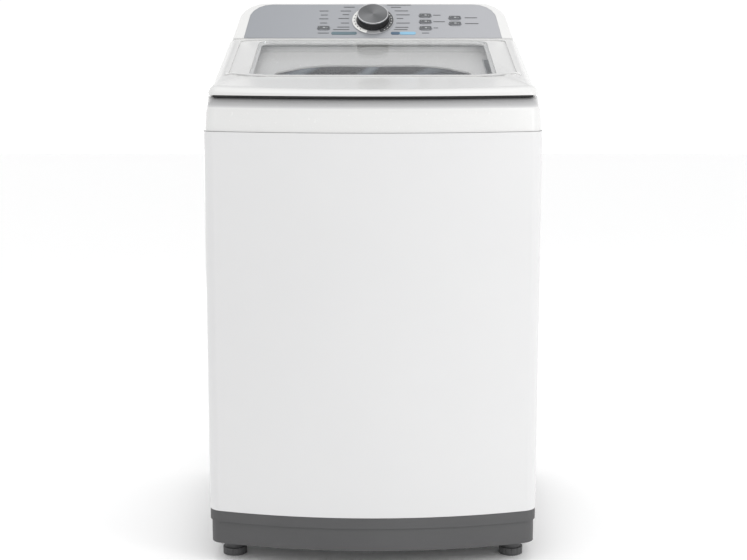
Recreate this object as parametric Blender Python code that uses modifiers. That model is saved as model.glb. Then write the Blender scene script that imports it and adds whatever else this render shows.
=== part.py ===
"""Top-loading washing machine, in metres, +Z up.

X is the width and -Y is the front. The origin is on the floor, at the middle of the plan.
"""

import math

import bmesh
import bpy
from mathutils import Matrix, Vector

# Overall sizes
WIDTH = 0.570
DEPTH = 0.600
HEIGHT = 0.966
FRONT_BOW = 0.047
CORNER_RADIUS = 0.028
GAP = 0.0003
HALF_WIDTH = WIDTH / 2
FRONT_Y = -DEPTH / 2
REAR_Y = DEPTH / 2

# Sheet and shell walls
SHEET = 0.001
PLASTIC_WALL = 0.003
CABINET_REAR_INSET = 0.010
RETURN_FLANGE = 0.020
REAR_CORNER = 0.006
CABINET_REAR = REAR_Y - CABINET_REAR_INSET

# Heights of the stacked casings. The rim under the lid rises from RIM_BREAK to SLOPE_END,
# the console stands on its rear end, and the cabinet takes the height that the others leave.
FOOT_HEIGHT = 0.033
PLINTH_HEIGHT = 0.0593
COVER_FACE_HEIGHT = 0.0405
GRIP_RISE = 0.0155
RIM_BREAK = 0.110
SLOPE_END = DEPTH - 0.1205
SLOPE = 0.2108
REAR_DECK_RISE = SLOPE * (SLOPE_END - RIM_BREAK)
CONSOLE_RISE = 0.0821
CABINET_Z = FOOT_HEIGHT + PLINTH_HEIGHT
REAR_DECK_Z = HEIGHT - CONSOLE_RISE
RIM_Z = REAR_DECK_Z - REAR_DECK_RISE
GRIP_Z = RIM_Z - GRIP_RISE
COVER_Z = GRIP_Z - COVER_FACE_HEIGHT
CABINET_HEIGHT = COVER_Z - CABINET_Z

# Plinth
PLINTH_LEDGE_HEIGHT = 0.040
PLINTH_STEP = 0.003
PLINTH_BAND = 0.020
PAD_SIZE = 0.062
PAD_THICKNESS = 0.012

# Feet
FOOT_RADIUS = 0.0213
FOOT_TIER_RADIUS = 0.0178
FOOT_TIER_HEIGHT = 0.013
FOOT_EDGE = 0.0015
STUD_RADIUS = 0.005
STUD_LENGTH = 0.070
FOOT_X = HALF_WIDTH - 0.040
FRONT_FOOT_FROM_FRONT = 0.091
REAR_FOOT_FROM_REAR = 0.070

# Top cover
COVER_INSET = 0.002
COVER_LEAN = 0.0025
COVER_TAPER = 0.005
COVER_REAR_INSET = 0.008
GRIP_DEPTH = 0.018
RIM_INSET = 0.020
RECESS_STEP = 0.004
RECESS_DEPTH = 0.009
RECESS_REAR = DEPTH - 0.128

# Mouth in the deck, above the drum
MOUTH_FRONT = 0.068
MOUTH_TO_RECESS_REAR = 0.100
MOUTH_HALF_DEPTH = (RECESS_REAR - MOUTH_TO_RECESS_REAR - MOUTH_FRONT) / 2
MOUTH_CENTRE = MOUTH_FRONT + MOUTH_HALF_DEPTH
MOUTH_HALF_WIDTH = HALF_WIDTH - 0.085
MOUTH_POWER = 2.5
MOUTH_DIP = 0.010
MOUTH_DIP_WIDTH = 0.060
COLLAR_WALL = 0.0025
COLLAR_BOTTOM = COVER_Z + 0.039

# Lid
LID_INSET = 0.0087
LID_REAR = DEPTH - 0.1035
LIP_GAP = 0.0040
LIP_BREAK = 0.1223
LID_FRONT_HEIGHT = 0.0101
LID_FRONT_SLOPE = 0.0851
LID_SKIRT_HEIGHT = 0.004
LID_EDGE_ROLL = ((0.003, 0.0050), (0.008, 0.0022), (0.014, 0.0006))
LID_SKIRT = 0.004
LID_ROOF = 0.0055
LID_ROOF_EDGE = LID_ROOF + 0.0032
GLASS_FRONT = 0.198
GLASS_REAR = DEPTH - 0.130
GLASS_HALF_WIDTH = HALF_WIDTH - 0.0665
GLASS_CORNER = 0.020
GLASS_BOW = 0.002
GLASS_THICKNESS = 0.0032
GLASS_LEDGE = 0.006

# Lid hinge
HINGE_FROM_FRONT = DEPTH - 0.1095
HINGE_HEIGHT = REAR_DECK_Z + 0.0086
HINGE_X = HALF_WIDTH - 0.045
PIN_RADIUS = 0.0018
PIN_LENGTH = 0.019
EAR_WIDTH = 0.010
EAR_RADIUS = 0.0042
NOTCH_SIDE_GAP = 0.0015
BOSS_WIDTH = 0.004
BUMPER_RADIUS = 0.0035
BUMPER_FROM_FRONT = 0.150
SWITCH_SIZE = (0.030, 0.018, 0.012)
SWITCH_FROM_RECESS_REAR = 0.030

# Console
CONSOLE_FRONT = DEPTH - 0.097
FACE_TILT = math.radians(39.5)
FACE_LENGTH = 0.105
CONSOLE_HALF_BASE = HALF_WIDTH - 0.0087
CONSOLE_HALF_SHOULDER = HALF_WIDTH - 0.021
SHOULDER_DROP = 0.036
TOP_CORNER_WIDTH = 0.055
FASCIA_HALF_BASE = HALF_WIDTH - 0.0335
FASCIA_HALF_TOP = HALF_WIDTH - 0.041
FASCIA_CORNER = 0.045
FASCIA_THICKNESS = 0.002
FASCIA_MARGIN = 0.003

# Controls, placed from the lower middle of the console's face
KNOB_UP = FACE_LENGTH / 2
KNOB_RADIUS = 0.0320
KNOB_HEIGHT = 0.0180
KNOB_SKIRT = 0.006
CAP_RADIUS = KNOB_RADIUS - 0.0015
CAP_THICKNESS = 0.0025
DIAL_RADIUS = KNOB_RADIUS + 0.0095
DIAL_THICKNESS = 0.001
BUTTON_SIZE = (0.0255, 0.012)
BUTTON_HEIGHT = 0.0012
BUTTON_CLEARANCE = 0.0004
BUTTONS = {
    "button_water": (-0.0967, 0.0296),
    "button_rinse": (0.1034, 0.0675),
    "button_soak": (0.1034, 0.0485),
    "button_spin": (0.1034, 0.0291),
    "button_power": (0.1617, 0.0604),
    "button_start": (0.1617, 0.0428),
}
BOARD_DEPTH = 0.020
BOARD_SIZE = (0.340, 0.064, 0.0016)
BOARD_X = 0.030
STEM_ABOVE_BOARD = 0.003
STEM_STEPS = 12
ENCODER_SIZE = (0.014, 0.014, 0.008)
ENCODER_SHAFT_RADIUS = 0.003

# Tub, hung on four rods. The narrower way across the cabinet sets its radius.
DRUM_Y = 0.0
TUB_RADIUS = min(HALF_WIDTH - 0.027, REAR_Y - 0.042)
TUB_WALL = 0.003
TUB_BOTTOM = 0.235
TUB_TOP = COVER_Z - 0.005
TUB_FLOOR = 0.004
TUB_COVER_INNER = TUB_RADIUS - 0.043
TUB_COVER_TOP = COVER_Z + 0.036
TUB_COVER_SKIRT = 0.007
ROD_X = HALF_WIDTH - 0.047
ROD_Y = REAR_Y - 0.088
ROD_RADIUS = 0.003
ROD_CAP_RADIUS = 0.0155
ROD_CAP_Z = TUB_BOTTOM - 0.077
ROD_CAP_THICKNESS = 0.004
LUG_PAST_ROD = 0.0223
LUG_WIDTH = 0.040
LUG_THICKNESS = 0.012
LUG_HOLE = 0.006
BRACKET_Z = COVER_Z - 0.018
BRACKET_PAST_ROD = 0.016
BRACKET_WIDTH = 0.042
BRACKET_THICKNESS = 0.003
SPRING_RADIUS = 0.0105
SPRING_WIRE = 0.0016
SPRING_TURNS = 4
SPRING_STEPS = 9

# Basket, pulsator and drive
BASKET_RADIUS = TUB_RADIUS - 0.023
BASKET_WALL = 0.0015
BASKET_BOTTOM = TUB_BOTTOM + 0.040
BASKET_TOP = COVER_Z - 0.015
RING_INNER = BASKET_RADIUS - 0.035
RING_OUTER = BASKET_RADIUS + 0.008
RING_HEIGHT = 0.0397
RING_EDGE = 0.006
FILTER_SIZE = (0.070, 0.012, 0.160)
FILTER_EDGE = 0.003
PULSATOR_RADIUS = BASKET_RADIUS - 0.065
PULSATOR_EDGE = 0.008
PULSATOR_CROWN = 0.030
PULSATOR_RIM = 0.012
PULSATOR_SHOULDER = 0.0128
VANES = 4
VANE_LENGTH = 0.78 * PULSATOR_RADIUS
VANE_MIDDLE = 0.53 * PULSATOR_RADIUS
VANE_WIDTH = 0.018
VANE_HEIGHT = 0.024
SHAFT_RADIUS = 0.010
TUBE_WALL = 0.0064
RUNNING_GAP = 0.0006
HUB_RADIUS = 0.090
HUB_THICKNESS = 0.010
CLUTCH_RADIUS = 0.060
CLUTCH_FLANGE = 0.078
CLUTCH_NECK = 0.036
CLUTCH_BOTTOM = TUB_BOTTOM - 0.107
PULLEY_Z = TUB_BOTTOM - 0.135
PULLEY_HEIGHT = 0.020
PULLEY_RADIUS = 0.066
MOTOR_PULLEY_RADIUS = 0.022
FLANGE_RISE = 0.004
FLANGE_THICKNESS = 0.003
BELT_THICKNESS = 0.003
MOTOR_DISTANCE = 0.150
MOTOR_RADIUS = 0.052
MOTOR_FLANGE = 0.065
MOTOR_NOSE = 0.0312
MOTOR_SHAFT_RADIUS = 0.005
TURN_STEPS = 32
SMALL_STEPS = 14

# Services
TRAY_REAR = RECESS_REAR - 0.062
TRAY_LOW = (HALF_WIDTH - 0.078, TRAY_REAR - 0.120)
TRAY_HIGH = (HALF_WIDTH - 0.036, TRAY_REAR)
TRAY_DEPTH = 0.024
TRAY_WALL = 0.002
VALVE_X = 0.180
VALVE_Z = REAR_DECK_Z - 0.0479
VALVE_SIZE = (0.060, 0.045, 0.040)
VALVE_STUB_RADIUS = 0.0130
GLAND_X = -0.200
GLAND_Z = COVER_Z - 0.060
GLAND_RADIUS = 0.0095
GLAND_FLANGE = 0.015
DRAIN_X = -0.200
DRAIN_Z = TUB_BOTTOM - 0.075
DRAIN_RADIUS = 0.017
DRAIN_FLANGE = 0.026
PUMP_PLACE = (-0.120, -0.100)
PUMP_RADIUS = 0.036
PUMP_NOSE_RADIUS = 0.0252
PUMP_SPOUT_RADIUS = 0.012
PUMP_SPOUT_LENGTH = 0.0576
PUMP_HEIGHT = 0.060

# How finely the outlines are divided
FRONT_STEPS = 8
CORNER_STEPS = 5
REAR_STEPS = 3
REAR_RUN_STEPS = 7
SIDE_COUNT = 5
SIDE_STATIONS = (RIM_BREAK, LIP_BREAK, GLASS_FRONT, GLASS_REAR - 0.120, SLOPE_END - 0.0015)


def from_front(distance):
    return FRONT_Y + distance


# ---- Scene, materials and modifiers ----


def start_collections():
    for obj in list(bpy.data.objects):
        bpy.data.objects.remove(obj, do_unlink=True)
    made = {}
    for name in ("washing_machine", "cutters"):
        made[name] = bpy.data.collections.new(name)
        bpy.context.scene.collection.children.link(made[name])
    return made["washing_machine"], made["cutters"]


def material(name, colour, roughness, metallic=0.0, alpha=1.0):
    made = bpy.data.materials.new(name)
    made.use_nodes = True
    shader = made.node_tree.nodes["Principled BSDF"]
    shader.inputs["Base Color"].default_value = (*colour, 1.0)
    shader.inputs["Roughness"].default_value = roughness
    shader.inputs["Metallic"].default_value = metallic
    shader.inputs["Alpha"].default_value = alpha
    made.diffuse_color = (*colour, alpha)
    return made


PARTS, CUTTERS = start_collections()
WHITE_PAINT = material("white_paint", (0.78, 0.78, 0.78), 0.35)
WHITE_PLASTIC = material("white_plastic", (0.80, 0.80, 0.79), 0.30)
GREY_PLASTIC = material("grey_plastic", (0.085, 0.085, 0.088), 0.55)
SILVER_PLASTIC = material("silver_plastic", (0.42, 0.43, 0.45), 0.35, 0.4)
BLACK_PLASTIC = material("black_plastic", (0.02, 0.02, 0.022), 0.35)
DARK_GLOSS = material("dark_gloss", (0.12, 0.14, 0.17), 0.20)
CAP_METAL = material("cap_metal", (0.30, 0.31, 0.33), 0.30, 0.9)
TINTED_GLASS = material("tinted_glass", (0.75, 0.78, 0.80), 0.05, 0.0, 0.35)
STEEL = material("steel", (0.62, 0.62, 0.63), 0.28, 1.0)
ZINC = material("zinc_steel", (0.48, 0.49, 0.50), 0.45, 1.0)
RUBBER = material("rubber", (0.03, 0.03, 0.03), 0.80)
LIGHT_PLASTIC = material("light_plastic", (0.62, 0.64, 0.66), 0.45)
BOARD_GREEN = material("board_green", (0.03, 0.16, 0.07), 0.50)
CAST_ALLOY = material("cast_alloy", (0.50, 0.51, 0.52), 0.50, 1.0)


def place(obj, look):
    """Puts a finished object in the machine's collection, with its material and soft shading."""
    PARTS.objects.link(obj)
    obj.data.materials.clear()
    obj.data.materials.append(look)
    if obj.type == "MESH":
        obj.data.shade_smooth()
        obj.data.set_sharp_from_angle(angle=math.radians(30))
    return obj


def helper(obj):
    """Keeps a cutter out of the model."""
    CUTTERS.objects.link(obj)
    obj.hide_render = True
    obj.display_type = "WIRE"
    return obj


def boolean(target, other, operation):
    step = target.modifiers.new(operation.lower(), "BOOLEAN")
    step.operation = operation
    step.solver = "EXACT"
    step.object = helper(other)


def cut(target, *others):
    for other in others:
        boolean(target, other, "DIFFERENCE")


def join(target, *others):
    for other in others:
        boolean(target, other, "UNION")


def keep_inside(target, *others):
    for other in others:
        boolean(target, other, "INTERSECT")


def bevel(obj, width, segments=2):
    step = obj.modifiers.new("bevel", "BEVEL")
    step.width = width
    step.segments = segments
    step.limit_method = "ANGLE"
    step.angle_limit = math.radians(40)


def hold(obj, parent):
    """Parents an object to an empty, keeping its own location in the empty's axes."""
    obj.parent = parent


# ---- Basic solids ----


def mesh_object(name, work):
    bmesh.ops.recalc_face_normals(work, faces=work.faces)
    mesh = bpy.data.meshes.new(name)
    work.to_mesh(mesh)
    work.free()
    return bpy.data.objects.new(name, mesh)


def box(name, size, centre):
    work = bmesh.new()
    bmesh.ops.create_cube(work, size=1.0, matrix=Matrix.Diagonal((*size, 1.0)))
    obj = mesh_object(name, work)
    obj.location = centre
    return obj


def rod(name, radius, length, centre, axis="Z", steps=SMALL_STEPS):
    quarter = math.pi / 2
    turns = {"Z": Matrix(), "X": Matrix.Rotation(quarter, 4, "Y"), "Y": Matrix.Rotation(quarter, 4, "X")}
    work = bmesh.new()
    bmesh.ops.create_cone(
        work, cap_ends=True, segments=steps, radius1=radius, radius2=radius, depth=length, matrix=turns[axis]
    )
    obj = mesh_object(name, work)
    obj.location = centre
    return obj


def hole(name, radius, length, centre, axis="Z"):
    """A round cutter whose flats, not its corners, keep the radius, so what passes through stays clear."""
    return rod(name, radius / math.cos(math.pi / SMALL_STEPS), length, centre, axis)


def turned(name, profile, closed=False, steps=TURN_STEPS, centre=(0.0, 0.0, 0.0)):
    """A profile of (radius, height) points that runs down its outer side, turned about Z."""
    work = bmesh.new()
    points = [work.verts.new((radius, 0.0, height)) for radius, height in profile]
    for first, second in zip(points, points[1:]):
        work.edges.new((first, second))
    if closed:
        work.edges.new((points[-1], points[0]))
    mesh = bpy.data.meshes.new(name)
    work.to_mesh(mesh)
    work.free()
    obj = bpy.data.objects.new(name, mesh)
    obj.location = centre
    screw = obj.modifiers.new("turn", "SCREW")
    screw.steps = steps
    screw.render_steps = steps
    screw.use_merge_vertices = True
    screw.merge_threshold = 0.00001
    return obj


def loft(name, rings, looped=False):
    """Skins rings of equal length. A looped loft closes on itself, and any other is capped."""
    work = bmesh.new()
    rows = [[work.verts.new(point) for point in ring] for ring in rings]
    pairs = list(zip(rows, rows[1:]))
    if looped:
        pairs.append((rows[-1], rows[0]))
    else:
        work.faces.new(rows[0])
        work.faces.new(rows[-1])
    for lower, upper in pairs:
        for index in range(len(lower)):
            after = (index + 1) % len(lower)
            work.faces.new((lower[index], lower[after], upper[after], upper[index]))
    return mesh_object(name, work)


def at_height(outline, height):
    """Lifts a plan outline to a height, or to a height that depends on the distance from the front."""
    if callable(height):
        return [(x, y, height(y - FRONT_Y)) for x, y in outline]
    return [(x, y, height) for x, y in outline]


def profile_block(name, profile, half_width):
    """A side profile of (distance from the front, height) points, as wide as the machine needs it."""
    ends = (-half_width, half_width)
    return loft(name, [[(x, from_front(back), z) for back, z in profile] for x in ends])


# ---- Plan outlines, all with the same number of points ----


def half_outline(
    half_width, front, rear, bow, front_radius, rear_radius, stations, rear_run=REAR_RUN_STEPS
):
    """The right half of a plan outline, from the middle of the front to the middle of the rear."""
    sweep = (half_width**2 + bow**2) / (2 * bow)
    corner_x = half_width - front_radius
    corner_y = front + sweep - math.sqrt((sweep - front_radius) ** 2 - corner_x**2)
    meet = math.atan2(corner_x, front + sweep - corner_y)
    points = []
    for step in range(FRONT_STEPS + 1):
        angle = meet * step / FRONT_STEPS
        points.append((sweep * math.sin(angle), front + sweep - sweep * math.cos(angle)))
    for step in range(1, CORNER_STEPS + 1):
        angle = meet + (math.pi / 2 - meet) * step / CORNER_STEPS
        points.append((corner_x + front_radius * math.sin(angle), corner_y - front_radius * math.cos(angle)))
    for index in range(SIDE_COUNT):
        share = (index + 1) / (SIDE_COUNT + 1)
        last = rear - rear_radius - REAR_CORNER / 3
        even = corner_y + (rear - rear_radius - corner_y) * share
        points.append((half_width, min(from_front(stations[index]), last) if stations else even))
    for step in range(REAR_STEPS + 1):
        angle = math.pi / 2 * step / REAR_STEPS
        side = half_width - rear_radius + rear_radius * math.cos(angle)
        points.append((side, rear - rear_radius + rear_radius * math.sin(angle)))
    for step in range(1, rear_run + 1):
        share = step / rear_run
        points.append(((half_width - rear_radius) * (1 - share), rear))
    return points


def plan_outline(half_width, front, rear, bow, front_radius, rear_radius=REAR_CORNER, stations=None):
    right = half_outline(half_width, front, rear, bow, front_radius, rear_radius, stations)
    left = [(-x, y) for x, y in reversed(right[1:-1])]
    return right + left


def body_outline(inset, rear, stations=SIDE_STATIONS):
    """The machine's bowed outline, drawn in by an inset, with its rear edge where it is told."""
    radius = max(CORNER_RADIUS - inset, REAR_CORNER)
    return plan_outline(
        HALF_WIDTH - inset, FRONT_Y + inset, rear, FRONT_BOW, radius, REAR_CORNER, stations
    )


def mouth_outline(outline, grow=0.0):
    """The drum's mouth: a rounded opening with a shallow dip in its rear edge."""
    points = []
    centre_y = from_front(MOUTH_CENTRE)
    for x, y in outline:
        angle = math.atan2(y - centre_y, x)
        across = abs(math.cos(angle)) / MOUTH_HALF_WIDTH
        along = abs(math.sin(angle)) / MOUTH_HALF_DEPTH
        reach = (across**MOUTH_POWER + along**MOUTH_POWER) ** (-1 / MOUTH_POWER) + grow
        side = reach * math.cos(angle)
        dip = MOUTH_DIP * math.exp(-((side / MOUTH_DIP_WIDTH) ** 2)) if y > centre_y else 0.0
        points.append((side, centre_y + reach * math.sin(angle) - dip))
    return points


# ---- Heights of the sloping top, by distance from the front ----


def rim_height(back):
    return min(RIM_Z + SLOPE * max(back - RIM_BREAK, 0.0), REAR_DECK_Z)


def deck_height(back):
    return rim_height(back) - RECESS_DEPTH


def lip_height(back):
    """The lower edge of the lid."""
    return RIM_Z + LIP_GAP + SLOPE * max(back - LIP_BREAK, 0.0)


def lid_height(back):
    """The upper surface of the lid: nearly level in front of the glass, then sloping with it."""
    front = RIM_Z + LIP_GAP + LID_FRONT_HEIGHT + LID_FRONT_SLOPE * back
    corner = RIM_Z + LIP_GAP + LID_FRONT_HEIGHT + LID_FRONT_SLOPE * GLASS_FRONT
    return front if back < GLASS_FRONT else corner + SLOPE * (back - GLASS_FRONT)


# ---- Cabinet, rear panel, plinth and feet ----


def make_cabinet():
    """One bent sheet: bowed front, two sides, and a return flange at each rear corner."""
    right = half_outline(
        HALF_WIDTH, FRONT_Y, CABINET_REAR, FRONT_BOW, CORNER_RADIUS, REAR_CORNER, None, rear_run=1
    )
    right[-1] = (HALF_WIDTH - RETURN_FLANGE, CABINET_REAR)
    path = [(-x, y) for x, y in reversed(right[1:])] + right
    work = bmesh.new()
    low = [work.verts.new((x, y, CABINET_Z + GAP)) for x, y in path]
    high = [work.verts.new((x, y, COVER_Z)) for x, y in path]
    for index in range(len(path) - 1):
        work.faces.new((low[index], low[index + 1], high[index + 1], high[index]))
    mesh = bpy.data.meshes.new("cabinet")
    work.to_mesh(mesh)
    work.free()
    obj = bpy.data.objects.new("cabinet", mesh)
    wall = obj.modifiers.new("wall", "SOLIDIFY")
    wall.thickness = SHEET
    wall.offset = -1.0
    wall.use_even_offset = True
    return place(obj, WHITE_PAINT)


def make_rear_panel():
    width = WIDTH - 2 * REAR_CORNER
    height = CABINET_HEIGHT - 2 * GAP
    centre_y = CABINET_REAR + GAP + SHEET / 2
    panel = box("rear_panel", (width, SHEET, height), (0.0, centre_y, CABINET_Z + GAP + height / 2))
    through = 10 * SHEET
    cut(
        panel,
        hole("gland_hole", GLAND_RADIUS + GAP, through, (GLAND_X, centre_y, GLAND_Z), "Y"),
        hole("drain_hole", DRAIN_RADIUS + GAP, through, (DRAIN_X, centre_y, DRAIN_Z), "Y"),
    )
    return place(panel, ZINC)


def foot_places():
    front = from_front(FRONT_FOOT_FROM_FRONT)
    rear = REAR_Y - REAR_FOOT_FROM_REAR
    return {
        "front_left": (-FOOT_X, front),
        "front_right": (FOOT_X, front),
        "rear_left": (-FOOT_X, rear),
        "rear_right": (FOOT_X, rear),
    }


def make_plinth():
    """A moulded base ring with a ledge, and a pad across each corner for a foot's stud."""
    outer = body_outline(GAP, CABINET_REAR, None)
    lower = body_outline(PLINTH_STEP, CABINET_REAR - PLINTH_STEP, None)
    inner = body_outline(PLINTH_BAND, CABINET_REAR - PLINTH_BAND, None)
    ledge_z = FOOT_HEIGHT + PLINTH_LEDGE_HEIGHT
    rings = [
        at_height(lower, FOOT_HEIGHT),
        at_height(lower, ledge_z),
        at_height(outer, ledge_z + GAP),
        at_height(outer, CABINET_Z),
        at_height(inner, CABINET_Z),
        at_height(inner, FOOT_HEIGHT),
    ]
    plinth = loft("base_plinth", rings, looped=True)
    pad_z = FOOT_HEIGHT + PAD_THICKNESS / 2 + GAP
    for corner, (x, y) in foot_places().items():
        join(plinth, box("pad_" + corner, (PAD_SIZE, PAD_SIZE, PAD_THICKNESS), (x, y, pad_z)))
    for corner, (x, y) in foot_places().items():
        cut(plinth, hole("stud_hole_" + corner, STUD_RADIUS + GAP, PLINTH_HEIGHT, (x, y, pad_z)))
    return place(plinth, GREY_PLASTIC)


def make_feet():
    """A rubbered disc, a smaller tier above it, and the stud that screws into the pad."""
    edge = FOOT_EDGE
    top = FOOT_HEIGHT - GAP
    profile = [
        (0.0, STUD_LENGTH),
        (STUD_RADIUS, STUD_LENGTH),
        (STUD_RADIUS, top),
        (FOOT_TIER_RADIUS - edge, top),
        (FOOT_TIER_RADIUS, top - edge),
        (FOOT_TIER_RADIUS, FOOT_TIER_HEIGHT + edge),
        (FOOT_RADIUS - edge, FOOT_TIER_HEIGHT),
        (FOOT_RADIUS, FOOT_TIER_HEIGHT - edge),
        (FOOT_RADIUS, edge),
        (FOOT_RADIUS - edge, 0.0),
        (0.0, 0.0),
    ]
    for corner, (x, y) in foot_places().items():
        place(turned("foot_" + corner, profile, steps=SMALL_STEPS, centre=(x, y, 0.0)), GREY_PLASTIC)


# ---- Top cover and collar ----


def make_top_cover():
    """A moulded frame: front face, sloping grip band, rim under the lid, and a recessed deck."""
    taper = COVER_INSET + COVER_TAPER
    rear = REAR_Y - COVER_REAR_INSET
    foot = body_outline(COVER_INSET, rear)
    brow = body_outline(COVER_INSET + COVER_LEAN, rear)
    shoulder = body_outline(taper, rear)
    front_in = plan_outline(
        HALF_WIDTH - taper, FRONT_Y + COVER_INSET + GRIP_DEPTH, rear, FRONT_BOW,
        CORNER_RADIUS, REAR_CORNER, SIDE_STATIONS,
    )
    rim_in = body_outline(taper + RIM_INSET, from_front(RECESS_REAR + RECESS_STEP))
    deck_edge = body_outline(taper + RIM_INSET + RECESS_STEP, from_front(RECESS_REAR))
    mouth = mouth_outline(deck_edge)
    inside_top = body_outline(taper + PLASTIC_WALL, rear - PLASTIC_WALL)
    inside_foot = body_outline(COVER_INSET + COVER_LEAN + PLASTIC_WALL, rear - PLASTIC_WALL)

    def side_top(back):
        return max(GRIP_Z, rim_height(back) - GRIP_RISE)

    def under_deck(back):
        return deck_height(back) - PLASTIC_WALL

    rings = [
        at_height(foot, COVER_Z + GAP),
        at_height(brow, GRIP_Z - COVER_TAPER),
        at_height(shoulder, side_top),
        at_height(front_in, rim_height),
        at_height(rim_in, rim_height),
        at_height(deck_edge, deck_height),
        at_height(mouth, deck_height),
        at_height(mouth, under_deck),
        at_height(inside_top, under_deck),
        at_height(inside_foot, GRIP_Z - 3 * COVER_TAPER),
        at_height(inside_foot, COVER_Z + GAP),
    ]
    cover = loft("top_cover", rings, looped=True)
    for side in (-1, 1):
        join(cover, *hinge_ear(side))
    cut(cover, tray_hole(), stub_hole())
    for side in (-1, 1):
        pin_hole = hole("pin_hole", PIN_RADIUS + GAP, 2 * EAR_WIDTH, hinge_place(side), "X")
        cut(cover, pin_hole)
    return place(cover, WHITE_PLASTIC)


def hinge_place(side):
    return (side * HINGE_X, from_front(HINGE_FROM_FRONT), HINGE_HEIGHT)


def hinge_ear(side):
    x, y, z = hinge_place(side)
    low = REAR_DECK_Z - PLASTIC_WALL
    stem = box("ear_stem", (0.8 * EAR_WIDTH, 1.5 * EAR_RADIUS, z - low), (x, y, (z + low) / 2))
    return stem, rod("ear_head", EAR_RADIUS, EAR_WIDTH, (x, y, z), "X")


def tray_hole():
    (x0, y0), (x1, y1) = TRAY_LOW, TRAY_HIGH
    size = (x1 - x0 + 2 * GAP, y1 - y0 + 2 * GAP, TRAY_DEPTH * 2)
    centre_back = (y0 + y1) / 2
    return box("tray_hole", size, ((x0 + x1) / 2, from_front(centre_back), deck_height(centre_back)))


def stub_hole():
    length = 4 * COVER_REAR_INSET
    centre = (VALVE_X, REAR_Y - COVER_REAR_INSET, VALVE_Z)
    return hole("stub_hole", VALVE_STUB_RADIUS + GAP, length, centre, "Y")


def make_drum_collar():
    """The dark wall that drops from the mouth's edge to just above the tub."""
    guide = body_outline(COVER_INSET + RIM_INSET, from_front(RECESS_REAR))
    inner = mouth_outline(guide)
    outer = mouth_outline(guide, COLLAR_WALL)

    def collar_top(back):
        return deck_height(back) - PLASTIC_WALL - 2 * GAP

    rings = [
        at_height(outer, COLLAR_BOTTOM),
        at_height(outer, collar_top),
        at_height(inner, collar_top),
        at_height(inner, COLLAR_BOTTOM),
    ]
    return place(loft("drum_collar", rings, looped=True), DARK_GLOSS)


# ---- Lid ----


def glass_outline(grow):
    return plan_outline(
        GLASS_HALF_WIDTH + grow, from_front(GLASS_FRONT) - grow, from_front(GLASS_REAR) + grow,
        GLASS_BOW, GLASS_CORNER, GLASS_CORNER,
    )


def lid_outline(inset):
    return body_outline(LID_INSET + inset, from_front(LID_REAR) - inset)


def below_lid(drop):
    return lambda back: lid_height(back) - drop


def make_lid_frame():
    """A crowned frame with a turned-down skirt, hollow underneath, and a ledge for the glass."""
    seat = GLASS_THICKNESS + GAP
    rings = [at_height(lid_outline(0.0), lip_height)]
    rings.append(at_height(lid_outline(0.0), lambda back: lip_height(back) + LID_SKIRT_HEIGHT))
    for inset, drop in LID_EDGE_ROLL:
        rings.append(at_height(lid_outline(inset), below_lid(drop)))
    rings += [
        at_height(glass_outline(GAP), below_lid(0.0)),
        at_height(glass_outline(GAP), below_lid(seat)),
        at_height(glass_outline(-GLASS_LEDGE), below_lid(seat)),
        at_height(glass_outline(-GLASS_LEDGE), below_lid(LID_ROOF)),
        at_height(lid_outline(RIM_INSET + LID_SKIRT), below_lid(LID_ROOF)),
        at_height(lid_outline(LID_SKIRT), below_lid(LID_ROOF_EDGE)),
        at_height(lid_outline(LID_SKIRT), lip_height),
    ]
    lid = loft("lid_frame", rings, looped=True)
    for side in (-1, 1):
        cut(lid, hinge_notch(side))
    for side in (-1, 1):
        join(lid, *hinge_bosses(side))
    for side in (-1, 1):
        cut(lid, hole("pin_bore", PIN_RADIUS + GAP, PIN_LENGTH + 2 * GAP, hinge_place(side), "X"))
    return place(lid, WHITE_PLASTIC)


def hinge_notch(side):
    x, y, z = hinge_place(side)
    half = EAR_WIDTH / 2 + NOTCH_SIDE_GAP
    front = y - 2 * EAR_RADIUS
    rear = from_front(LID_REAR) + LID_SKIRT
    size = (2 * half, rear - front, 8 * EAR_RADIUS)
    return box("hinge_notch", size, (x, (front + rear) / 2, z))


def hinge_bosses(side):
    x, y, z = hinge_place(side)
    offset = EAR_WIDTH / 2 + NOTCH_SIDE_GAP + BOSS_WIDTH / 2
    size = (BOSS_WIDTH, 2.2 * EAR_RADIUS, 1.7 * EAR_RADIUS)
    return [box("hinge_boss", size, (x + way * offset, y, z)) for way in (-1, 1)]


def make_hinge_pins():
    for name, side in (("left", -1), ("right", 1)):
        place(rod("lid_hinge_pin_" + name, PIN_RADIUS, PIN_LENGTH, hinge_place(side), "X"), STEEL)


def make_lid_window():
    outline = glass_outline(0.0)
    rings = [at_height(outline, below_lid(GLASS_THICKNESS)), at_height(outline, below_lid(0.0))]
    return place(loft("lid_window", rings), TINTED_GLASS)


def make_bumpers():
    """Two soft stops under the lid that meet the rim."""
    x = HALF_WIDTH - LID_INSET - LID_SKIRT - BUMPER_RADIUS - GAP
    low = rim_height(BUMPER_FROM_FRONT + BUMPER_RADIUS) + GAP
    high = lid_height(BUMPER_FROM_FRONT - BUMPER_RADIUS) - LID_ROOF_EDGE - GAP
    for name, side in (("left", -1), ("right", 1)):
        centre = (side * x, from_front(BUMPER_FROM_FRONT), (low + high) / 2)
        place(rod("lid_bumper_" + name, BUMPER_RADIUS, high - low, centre), RUBBER)


# ---- Console ----


def face_origin():
    """The lower middle of the console's sloping face."""
    return Vector((0.0, from_front(CONSOLE_FRONT), HEIGHT - FACE_LENGTH * math.sin(FACE_TILT)))


def make_face_frame():
    frame = bpy.data.objects.new("console_face", None)
    frame.location = face_origin()
    frame.rotation_euler = (FACE_TILT, 0.0, 0.0)
    PARTS.objects.link(frame)
    return frame


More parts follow.
